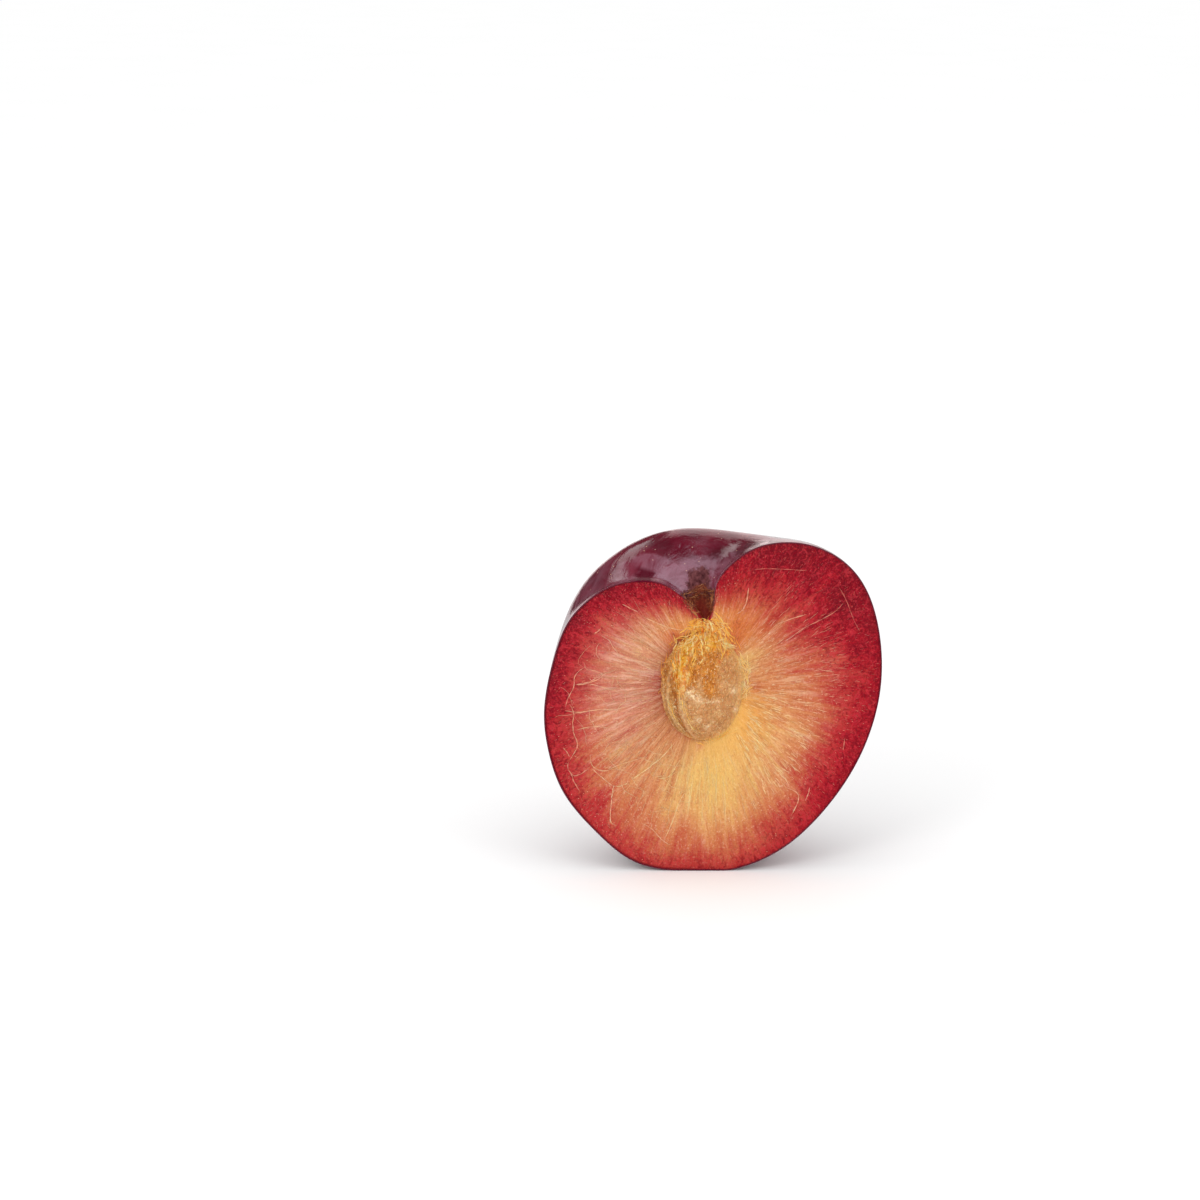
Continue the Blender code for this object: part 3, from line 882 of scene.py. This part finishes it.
def stone_surface():
    """The stone's points in the fruit frame, row by row, and its fields: where each is on the stone, how deep
    or high the grooves are, how much pulp covers it, the dark edge where it meets the flesh, the golden pulp
    along that rim, painted lighter as painted light on the sides that turn from the lamps, and its spots,
    of which the pale ones are painted highlights."""
    shares = (1 - np.cos(np.linspace(0, math.pi, STONE_ROWS)))[:, None] / 2
    angles = (np.arange(STONE_SIDES) * 2 * math.pi / STONE_SIDES)[None, :]
    points = stone_points(shares, angles)
    from_keel = np.degrees(np.angle(np.exp(1j * (angles - math.pi))))
    bend = 4 * np.sin(shares * 7.0)
    grooves = np.zeros(points.shape[:2])
    for angle, width, height in STONE_RIDGES:
        grooves += height * np.exp(-(((from_keel - angle - bend) / width) ** 2))
    drawn_out = points * np.array([1, 1, 0.3])
    rough = 0.03 * noise_at(drawn_out, 0.7, 3) + 0.015 * noise_at(points, 0.3, 4)
    lumps = 0.1 * noise_at(drawn_out, 2.0, 5) + 0.15 * noise_at(points, 4.0, 8)
    ragged = shares + 0.12 * noise_at(points * np.array([1, 1, 0.4]), 1.5, 9)
    neck = smoothstep(PULP_ENDS[1], PULP_ENDS[0], ragged)
    on_keel = np.exp(-(((from_keel - 40) / 20) ** 2)) * smoothstep(0.6, 0.38, ragged)
    pulp = np.maximum(neck, 0.75 * on_keel)
    torn = 0.16 + 0.2 * noise_at(drawn_out, 1.0, 10)
    # Pale spots are small raised lumps, which the material paints whitish as painted highlights
    pale = 0.12 * spots(points, STONE_SPOTS["pale"])
    relief = grooves * (1 - 0.5 * pulp) + rough + lumps + pulp * torn + pale
    fade = np.sin(math.pi * shares) ** 0.5
    lifted = stone_points(shares, angles, 1.0) - points
    points = points + lifted * (relief * fade)[..., None]
    across, through, height = np.moveaxis(points, -1, 0)
    rim = np.exp(-(((through + 0.2) / 1.5) ** 2))
    # Near the cut face: pale pulp on the stone's rim, painted lighter on the sides that turn from the lamps,
    # as painted light
    waterline = np.exp(-(((through + 0.4) / 1.1) ** 2))
    fields = {
        "place": np.stack(np.broadcast_arrays(from_keel / 90, shares, 0), axis=-1),
        "groove": grooves,
        "pulp": pulp,
        "edge": rim * (0.1 + 0.9 * smoothstep(2.5, -3.0, across)),
        "rim_pulp_and_light": waterline * np.maximum(smoothstep(0.5, 4.0, across), smoothstep(29.0, 25.5, height)),
    }
    for name, table in STONE_SPOTS.items():
        fields[name] = spots(points, table)
    return points, fields


def stone_piece(surface, material):
    """The stone with the ridges and grooves along its keel, and the pulp left on its neck."""
    points, fields = surface
    return ring_object("stone_shell", lean_back(points), fields, material)


def scar_strands(rng):
    """Corky threads round the mouth of the stem pit, where the stalk broke away."""
    knots = fruit_knots()
    paths = []
    for _ in range(SCAR_COUNT):
        angle = math.radians(rng.uniform(*SCAR_ANGLES))
        first = np.interp(rng.normal(*SCAR_PLACE), np.arange(len(knots)), knots)
        shares = np.linspace(first, first + rng.uniform(-0.006, 0.006), SCAR_POINTS)
        angles = angle + np.linspace(0, math.radians(rng.uniform(-65, 65)), SCAR_POINTS)
        rows = fruit_points(shares, np.clip(angles, 0.02, math.pi - 0.02))
        line = np.einsum("iij->ij", rows) + rng.normal(0, 0.05, (SCAR_POINTS, 3))
        inward = -line * np.array([1, 1, 0]) / np.maximum(np.linalg.norm(line[:, :2], axis=1), 0.3)[:, None]
        line = lean_back(line + inward * rng.uniform(0.0, 0.12))
        fine = 2 * SCAR_POINTS
        radii = rng.uniform(0.03, 0.085) * np.sin(np.linspace(0.3, math.pi - 0.3, fine)) ** 0.7
        paths.append((smooth_line(line, fine), radii, rng.uniform(0, 1) ** 1.3, 0))
    return paths


# Materials


def linear(colour):
    """A picture's 8-bit values as the linear light that materials take."""
    parts = [part / 255 for part in colour]
    return tuple(part / 12.92 if part <= 0.04045 else ((part + 0.055) / 1.055) ** 2.4 for part in parts)


class Value:
    """An output of a node in a graph. Arithmetic with it adds the nodes for the result."""

    def __init__(self, graph, socket):
        self.graph = graph
        self.socket = socket

    def __add__(self, other):
        return self.graph.math("ADD", self, other)

    def __sub__(self, other):
        return self.graph.math("SUBTRACT", self, other)

    def __mul__(self, other):
        return self.graph.math("MULTIPLY", self, other)

    def __abs__(self):
        return self.graph.math("ABSOLUTE", self, 0.0)

    def span(self, low, high, to_low=0.0, to_high=1.0):
        """Carried from low..high to to_low..to_high, smoothly and no further."""
        ends = {"Value": self, "From Min": low, "From Max": high, "To Min": to_low, "To Max": to_high}
        return self.graph.node("MapRange", "Result", ends, interpolation_type="SMOOTHSTEP")


class Graph:
    """A new material, with ways to add nodes to it."""

    def __init__(self, name):
        self.material = bpy.data.materials.new(name)
        self.material.use_nodes = True
        self.tree = self.material.node_tree
        self.shader = self.tree.nodes["Principled BSDF"]

    def put(self, socket, value):
        """Links a Value to the socket, and sets anything else on it."""
        if isinstance(value, Value):
            self.tree.links.new(value.socket, socket)
        elif socket.type == "RGBA":
            socket.default_value = (*linear(value), 1)
        else:
            socket.default_value = value

    def set(self, **values):
        """Puts the values to the shader's inputs."""
        for key, value in values.items():
            self.put(self.shader.inputs[key.replace("_", " ")], value)

    def node(self, kind, output, inputs, **settings):
        """The output of a new node with those inputs and settings."""
        made = self.tree.nodes.new("ShaderNode" + kind)
        for key, value in settings.items():
            setattr(made, key, value)
        for key, value in inputs.items():
            self.put(made.inputs[key], value)
        return Value(self, made.outputs[output])

    def math(self, operation, first, second):
        return self.node("Math", 0, {0: first, 1: second}, operation=operation)

    def attribute(self, name, output="Fac"):
        return self.node("Attribute", output, {}, attribute_name=name)

    def scaled(self, vector, scale):
        return self.node("Mapping", "Vector", {"Vector": vector, "Scale": scale})

    def object_mm(self):
        """Object coordinates in millimetres."""
        return self.scaled(self.node("TexCoord", "Object", {}), (1000, 1000, 1000))

    def part(self, vector, axis):
        return self.node("SeparateXYZ", axis, {0: vector})

    def moved(self, vector, shift, reach):
        """The vector moved by shift, a value about 0.5, times reach, up X and Z and down Y."""
        inputs = {0: shift, 1: (reach, -reach, reach), 2: vector}
        return self.node("VectorMath", "Vector", inputs, operation="MULTIPLY_ADD")

    def noise(self, vector, scale, detail, roughness=0.5, distortion=0.0, last=1.0):
        """Noise from 0 to 1. A last under 1 draws it out along the vector's last axis."""
        if last != 1:
            vector = self.scaled(vector, (1, 1, last))
        inputs = {"Scale": scale, "Detail": detail, "Roughness": roughness, "Distortion": distortion}
        return self.node("TexNoise", "Fac", {"Vector": vector, **inputs})

    def cells(self, vector, scale, feature="F1"):
        return self.node("TexVoronoi", "Distance", {"Vector": vector, "Scale": scale}, feature=feature)

    def bump(self, height, distance, strength):
        inputs = {"Height": height, "Distance": distance, "Strength": strength}
        return self.node("Bump", "Normal", inputs)

    def ramp(self, value, stops):
        colour = self.node("ValToRGB", "Color", {"Fac": value})
        elements = colour.socket.node.color_ramp.elements
        while len(elements) < len(stops):
            elements.new(0.5)
        for element, (place, shade) in zip(elements, stops):
            element.position = place
            element.color = (*linear(shade), 1)
        return colour

    def layered(self, colour, layers):
        """The colour with the layers, each (share, colour), mixed over it one after another."""
        for share, over in layers:
            colour = self.node("Mix", 2, {0: share, 6: colour, 7: over}, data_type="RGBA")
        return colour


def flesh_material():
    """Juicy flesh: gold to crimson, with streaks that run out from the stone, a net under the skin, and
    pinkish-white streaks of painted wet sheen beside the stone.
    """
    graph = Graph("flesh")
    flow = graph.attribute("flow", "Vector")
    ripe, depth, gold, blush, rose, straw = (
        graph.attribute(name) for name in ("ripe", "depth", "gold", "blush", "rose", "straw")
    )
    mottle = graph.noise(flow, 0.4, 3, last=0.5)
    rays = graph.noise(flow, 1.0, 3, 0.55, 0.2, last=0.1)
    hairs = graph.noise(flow, 4.0, 3, 0.6, 0.9, last=0.13)
    locks = graph.noise(flow, 1.5, 3, 0.55, 0.8, last=0.1)
    beads = graph.noise(flow, 3.4, 2, 0.7, 0.3, last=0.6)
    worms = graph.noise(flow, 2.3, 3, 0.65, 1.2, last=0.4)
    grain = graph.noise(graph.object_mm(), 3.2, 3, 0.65)
    strands = hairs * 0.4 + locks * 0.6
    outer = ripe.span(0.42, 0.75)
    inner = depth.span(0.95, 0.3, 0.3, 1.0) * straw.span(0.0, 0.8, 1.0, 0.4)
    middle = depth.span(0.15, 0.4) * depth.span(1.0, 0.8)
    fringe = depth.span(0.05, 0.0) * graph.part(flow, 0).span(6.0, -4.0)
    uneven = ripe + (mottle - 0.5) * 0.34 + (rays - 0.5) * 0.6 * middle
    uneven = uneven + (hairs - 0.5) * 0.24 + (grain - 0.5) * 0.34
    pale = graph.ramp(ripe, HAIR_STOPS)
    colour = graph.layered(graph.ramp(uneven, FLESH_STOPS), [
        (gold * 0.72, (240, 162, 66)),
        # Pink patch beside the stone: part flesh colour, part painted wet sheen
        (blush * 0.42, (224, 160, 138)),
        (rose * 0.5, (180, 66, 66)),
        (straw * 0.6, (228, 184, 100)),
        (strands.span(0.5, 0.64) * inner * 0.42, pale),
        # Painted wet sheen: pinkish-white streaks in that pink patch
        (strands.span(0.46, 0.62) * blush * inner * 0.36, (234, 188, 174)),
        (strands.span(0.49, 0.38) * inner * 0.3, (142, 52, 40)),
        (beads.span(0.55, 0.72, 0.0, 0.5), pale),
        (beads.span(0.45, 0.3, 0.0, 0.3), (160, 54, 44)),
        (worms.span(0.5, 0.62) * outer * 0.36, (206, 54, 66)),
        (worms.span(0.49, 0.38) * outer * 0.8, (122, 0, 22)),
        (grain.span(0.54, 0.66) * outer * 0.4, (214, 64, 68)),
        (grain.span(0.47, 0.36) * ripe.span(0.55, 0.95, 0.0, 0.75), (96, 0, 14)),
        (fringe * 0.35, (168, 58, 38)),
    ])
    height = hairs * inner + rays * 0.5 + grain * 0.8 + worms * outer
    graph.set(
        Base_Color=colour,
        Roughness=grain.span(0.4, 0.62, 0.45, 0.12),
        Subsurface_Weight=0.12,
        Subsurface_Radius=(1.0, 0.4, 0.2),
        Subsurface_Scale=0.0004,
        Specular_IOR_Level=0.09,
        Normal=graph.bump(height, 0.0002, 1.0),
    )
    return graph.material


def face_fibre_material():
    """Threads of the flesh's own colour, paler by their tone."""
    graph = Graph("face fibres")
    ripe = graph.attribute("ripe")
    grain = graph.noise(graph.object_mm(), 3.0, 2)
    colour = graph.layered(graph.ramp(ripe, FLESH_STOPS), [
        (graph.attribute("tone"), graph.ramp(ripe, THREAD_STOPS)),
        (grain.span(0.3, 0.7, 0.0, 0.3), (214, 120, 90)),
    ])
    graph.set(
        Base_Color=colour,
        Roughness=0.3,
        Specular_IOR_Level=0.2,
        Subsurface_Weight=0.4,
        Subsurface_Radius=(1.0, 0.45, 0.25),
        Subsurface_Scale=0.0005,
    )
    return graph.material


def skin_material():
    """Smooth dark skin with a wax bloom and pale dots, stained and corky round the stem pit. The bloom is
    laid where the softboxes' reflections fall, as painted sheen, and a dark streak on the shoulder is painted
    shade.
    """
    graph = Graph("skin")
    place = graph.object_mm()
    down, rim = graph.attribute("down"), graph.attribute("rim")
    lay = graph.attribute("lay", "Vector")
    across = graph.part(lay, 0)
    streaks = graph.noise(graph.scaled(lay, (0.12, 0.12, 3.0)), 1.1, 4, 0.6, 0.5)
    cloudy = graph.noise(place, 0.3, 5, 0.6, 0.8)
    dots = graph.cells(place, 0.8).span(0.11, 0.06)
    threads = graph.noise(place, 4.0, 4, 0.7, last=0.4)
    broad_threads = graph.noise(place, 1.6, 3, 0.7, 0.4, last=0.5)
    fray = graph.noise(place, 0.8, 4, 0.65) - 0.5
    # Wax bloom over the crown and round the stem cavity, where the overhead reflection falls: part real
    # bloom, part painted sheen
    waxy_sheen_to = across.span(-13.0, -19.3, 4.2, 5.9) + across.span(5.0, 14.0, 0.0, 0.4)
    waxy_sheen = (down - waxy_sheen_to + fray * 0.9).span(0.2, -0.2) * streaks.span(0.35, 0.6, 0.35, 1.0)
    # A pale band on the shoulder by the suture edge: painted sheen
    shoulder = down.span(5.7, 6.5) * down.span(9.5, 7.5) * across.span(-12.0, -18.0)
    # Painted shade: a dark streak across the shoulder by the suture edge, where no reflection falls, with the
    # reflection turned down there too
    painted_shade_streak = abs(down + fray * 0.5 - 5.0).span(0.5, 0.2) * across.span(-18.5, -19.2)
    ragged = down + fray * 1.2 + abs(across + 4.0).span(5.0, 14.0, 0.0, 0.8)
    stain = ragged.span(3.85, 3.6)
    colour = graph.layered(graph.ramp(graph.noise(place, 0.12, 4, 0.55), SKIN_STOPS), [
        (cloudy.span(0.35, 0.75) * streaks.span(0.35, 0.65) * 0.08, (148.9, 104.6, 123.6)),
        (dots * 0.8, (206, 160, 130)),
        (waxy_sheen * 0.32, BLOOM_SHEEN),
        (shoulder * streaks.span(0.35, 0.6, 0.06, 0.2), BLOOM_SHEEN),
        (painted_shade_streak * 0.9, (74.8, 3.3, 22.0)),
        (stain, graph.ramp(broad_threads, STAIN_STOPS)),
        (ragged.span(3.2, 2.9), graph.ramp(threads, BARK_STOPS)),
        (ragged.span(2.5, 1.9) * 0.65, (104, 12, 6)),
        (rim * down.span(3.0, 4.0), (93.2, 9.9, 36.4)),
    ])
    height = graph.noise(place, 1.1, 3) * 0.2 + threads * stain * 2.0 + dots * 0.3 + streaks * 2.2
    graph.set(
        Base_Color=colour,
        Roughness=stain * 0.4 + streaks.span(0.3, 0.7, 0.09, 0.24),
        Specular_IOR_Level=graph.math("MAXIMUM", stain, painted_shade_streak).span(0.0, 1.0, 0.5, 0.06),
        Normal=graph.bump(height, 0.0001, 0.5),
    )
    return graph.material


def stone_material():
    """Damp shell seen through a film of juice, with amber pulp left on its neck and along its keel. Painted
    shade darkens its grooves, painted highlights pale its ridges, pale spots and specks, and painted light
    brightens the pulp at its rim.
    """
    graph = Graph("stone")
    place = graph.object_mm()
    on_stone = graph.attribute("place", "Vector")
    groove, pulp, edge, rim_pulp_and_light, gilt, russet, pale = (
        graph.attribute(name) for name in ("groove", "pulp", "edge", "rim_pulp_and_light", "gilt", "russet", "pale")
    )
    grit = graph.noise(place, 2.2, 4, 0.6)
    fine = graph.noise(place, 3.2, 2, 0.7, last=0.7)
    wet = graph.noise(place, 3.4, 2, 0.6, last=0.7)
    broad = graph.noise(place, 0.45, 3, last=0.5)
    strand = graph.noise(place, 1.7, 3, 0.6, 0.8, last=0.35)
    murk = graph.noise(place, 0.9, 3, 0.6, 0.5)
    net = graph.cells(graph.moved(place, graph.noise(place, 1.0, 2), 1.2), 1.1, "DISTANCE_TO_EDGE")
    dorsal = graph.part(graph.moved(place, broad, 2.0), 0).span(2.6, 4.8)
    high = graph.part(on_stone, 1) + (broad - 0.5) * 0.5
    tawny = high.span(0.6, 0.42) * dorsal.span(0.0, 1.0, 1.0, 0.2)
    keel = abs(graph.part(on_stone, 0) - 0.16).span(0.22, 0.12)
    colour = graph.layered(graph.ramp(grit * 0.45 + broad * 0.55, SHELL_STOPS), [
        (net.span(0.12, 0.0, 0.0, 0.45), (232, 184, 124)),
        (tawny, graph.ramp(grit * 0.6 + strand * 0.4, FILM_STOPS)),
        (keel * 0.55, graph.ramp(strand, KEEL_STOPS)),
        (high.span(0.86, 0.98) * 0.7, (206, 122, 50)),
        # Painted shade darkens the grooves, and a painted highlight pales the ridges
        (groove.span(-0.02, -0.2) * 0.55, (172, 88, 26)),
        (groove.span(0.06, 0.2) * 0.45, (230, 190, 140)),
        ((pulp + (strand - 0.5) * 0.7).span(0.1, 0.9), graph.ramp(strand, AMBER_STOPS)),
        (edge * strand.span(0.3, 0.6, 0.75, 0.25), (150, 58, 22)),
        # Pale pulp on the rim, brightened as painted light where the sides turn from the lamps
        (rim_pulp_and_light * 0.85, (255, 194, 118)),
        (gilt * strand.span(0.35, 0.6, 0.4, 0.85), (236, 172, 44)),
        (russet * 0.7, (214, 84, 28)),
        # Painted highlights: whitish glints on the pale spots
        (pale * fine.span(0.42, 0.56, 0.15, 0.9), (255, 226, 180)),
        # Painted glints: small whitish specks scattered over the wet film
        (fine.span(0.56, 0.68) * 0.6, (255, 226, 172)),
        (murk.span(0.46, 0.34) * 0.3, (160, 88, 32)),
    ])
    height = grit * 0.9 + fine * 0.5 + net.span(0.15, 0.0, 0.0, 0.6) + strand * pulp.span(0.0, 0.6, 0.8, 2.2)
    graph.set(
        Base_Color=colour,
        Roughness=fine.span(0.35, 0.65, 0.3, 0.18),
        Specular_IOR_Level=0.12,
        Subsurface_Weight=0.35,
        Subsurface_Radius=(1.0, 0.5, 0.25),
        Subsurface_Scale=0.0009,
        Coat_Weight=0.12,
        Coat_Roughness=0.08,
        Coat_Normal=graph.bump(wet, 0.0005, 1.0),
        Normal=graph.bump(height, 0.0004, 1.0),
    )
    return graph.material


def fibre_material(name, stops, scatter):
    """Wet plant fibres whose colour runs between the stops from strand to strand."""
    graph = Graph(name)
    place = graph.object_mm()
    tone = graph.attribute("tone") + (graph.noise(place, 1.5, 2) - 0.5) * 0.5
    graph.set(
        Base_Color=graph.ramp(tone, stops),
        Roughness=0.35,
        Subsurface_Weight=scatter,
        Subsurface_Radius=(1.0, 0.5, 0.2),
        Subsurface_Scale=0.0008,
        Specular_IOR_Level=0.25,
        Coat_Weight=0.1,
        Coat_Roughness=0.1,
        Normal=graph.bump(graph.noise(place, 6.0, 2), 0.0001, 0.6),
    )
    return graph.material


def floor_material():
    """Matt white table top."""
    graph = Graph("table")
    soft = graph.noise(graph.object_mm(), 0.02, 2)
    colour = graph.ramp(soft, [(0.0, (247.0, 247.0, 247.0)), (1.0, (249.3, 249.3, 249.3))])
    graph.set(Base_Color=colour, Roughness=0.9, Specular_IOR_Level=0.0)
    return graph.material


# Camera and light


def add_camera():
    """The photograph's camera, which sees the foot of the cut face at FOOT_PIXEL."""
    pitch = math.radians(CAMERA_PITCH)
    right = Vector((1, 0, 0))
    forward = Vector((0, math.cos(pitch), -math.sin(pitch)))
    up = right.cross(forward)
    pixels = LENS / SENSOR * PHOTO_SIZE
    across = (FOOT_PIXEL[0] - PHOTO_SIZE / 2) / pixels * CAMERA_DISTANCE
    below = (FOOT_PIXEL[1] - PHOTO_SIZE / 2) / pixels * CAMERA_DISTANCE
    data = bpy.data.cameras.new("camera")
    data.lens = LENS
    data.sensor_width = SENSOR
    data.clip_start, data.clip_end = 0.01, 50
    camera = bpy.data.objects.new("camera", data)
    camera.location = Vector((0, -SETBACK * MM, 0)) - right * across + up * below - forward * CAMERA_DISTANCE
    camera.rotation_euler = (math.pi / 2 - pitch, 0, 0)
    bpy.context.scene.collection.objects.link(camera)
    bpy.context.scene.camera = camera


def add_softbox(name, place, size, radiance, tint, lights_up, aim):
    """A rectangular area light at that place, as its row in SOFTBOXES says."""
    data = bpy.data.lights.new(name, "AREA")
    data.shape = "RECTANGLE"
    data.size, data.size_y = size
    data.energy = radiance * math.pi * size[0] * size[1]
    data.color = tint
    light = bpy.data.objects.new(name, data)
    light.location = place
    light.visible_camera = False
    light.visible_diffuse = lights_up
    direction = Vector(aim or (place[0], place[1], 0)) - Vector(place)
    light.rotation_euler = direction.to_track_quat("-Z", "Y").to_euler()
    bpy.context.scene.collection.objects.link(light)


def add_world():
    """White surroundings, whose brightness depends on what sees them."""
    world = bpy.data.worlds.new("studio")
    world.use_nodes = True
    bpy.context.scene.world = world
    tree = world.node_tree
    white = tree.nodes["Background"]
    white.inputs["Color"].default_value = (1, 1, 1, 1)
    path = tree.nodes.new("ShaderNodeLightPath")
    before = None
    for ray, brightness in (("Is Glossy Ray", WORLD_MIRRORED), ("Is Camera Ray", WORLD_SEEN)):
        mix = tree.nodes.new("ShaderNodeMix")
        mix.inputs[2].default_value = WORLD_CAST
        mix.inputs[3].default_value = brightness
        tree.links.new(path.outputs[ray], mix.inputs[0])
        if before:
            tree.links.new(before, mix.inputs[2])
        before = mix.outputs[0]
    tree.links.new(before, white.inputs["Strength"])


def add_floor():
    """The table, which ends in front of the fruit, just out of the picture."""
    mesh = bpy.data.meshes.new("floor")
    work = bmesh.new()
    bmesh.ops.create_grid(work, x_segments=4, y_segments=4, size=TABLE_HALF)
    work.to_mesh(mesh)
    work.free()
    mesh.materials.append(floor_material())
    floor = bpy.data.objects.new("floor", mesh)
    floor.location = (0, TABLE_HALF - TABLE_FRONT, -TABLE_DROP)
    bpy.context.scene.collection.objects.link(floor)


def main():
    """Builds the stage and the pieces, and ties the pieces to the frame."""
    bpy.context.scene.view_settings.view_transform = "Standard"
    add_camera()
    add_world()
    add_floor()
    for softbox in SOFTBOXES:
        add_softbox(*softbox)

    rng = np.random.default_rng(SEED)
    faces = face_sides()
    shell = stone_surface()
    read = front_reader(faces, shell[0])
    skin = skin_piece(skin_material())
    flesh = flesh_piece(faces, flesh_material())
    stone = stone_piece(shell, stone_material())
    orange = fibre_material("pulp", PULP_STOPS, 0.4)
    brown = fibre_material("scar fibres", SCAR_STOPS, 0.1)
    pulp = tube_object("pulp", guided_strands(PULP_GUIDES, read, rng), orange)
    corky = scar_strands(rng) + guided_strands(PIT_GUIDES, read, rng)
    scar = tube_object("scar_fibres", corky, brown)
    threads = vein_strands(read, rng) + face_strands(faces, rng) + faint_vein_strands(read, rng)
    fibres = tube_object("face_fibres", threads, face_fibre_material(), 4)
    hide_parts("cut_half")
    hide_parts("cut_half")
    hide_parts("stone")
    for piece in (skin, flesh, stone, pulp, scar, fibres):
        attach(piece, "root")


main()
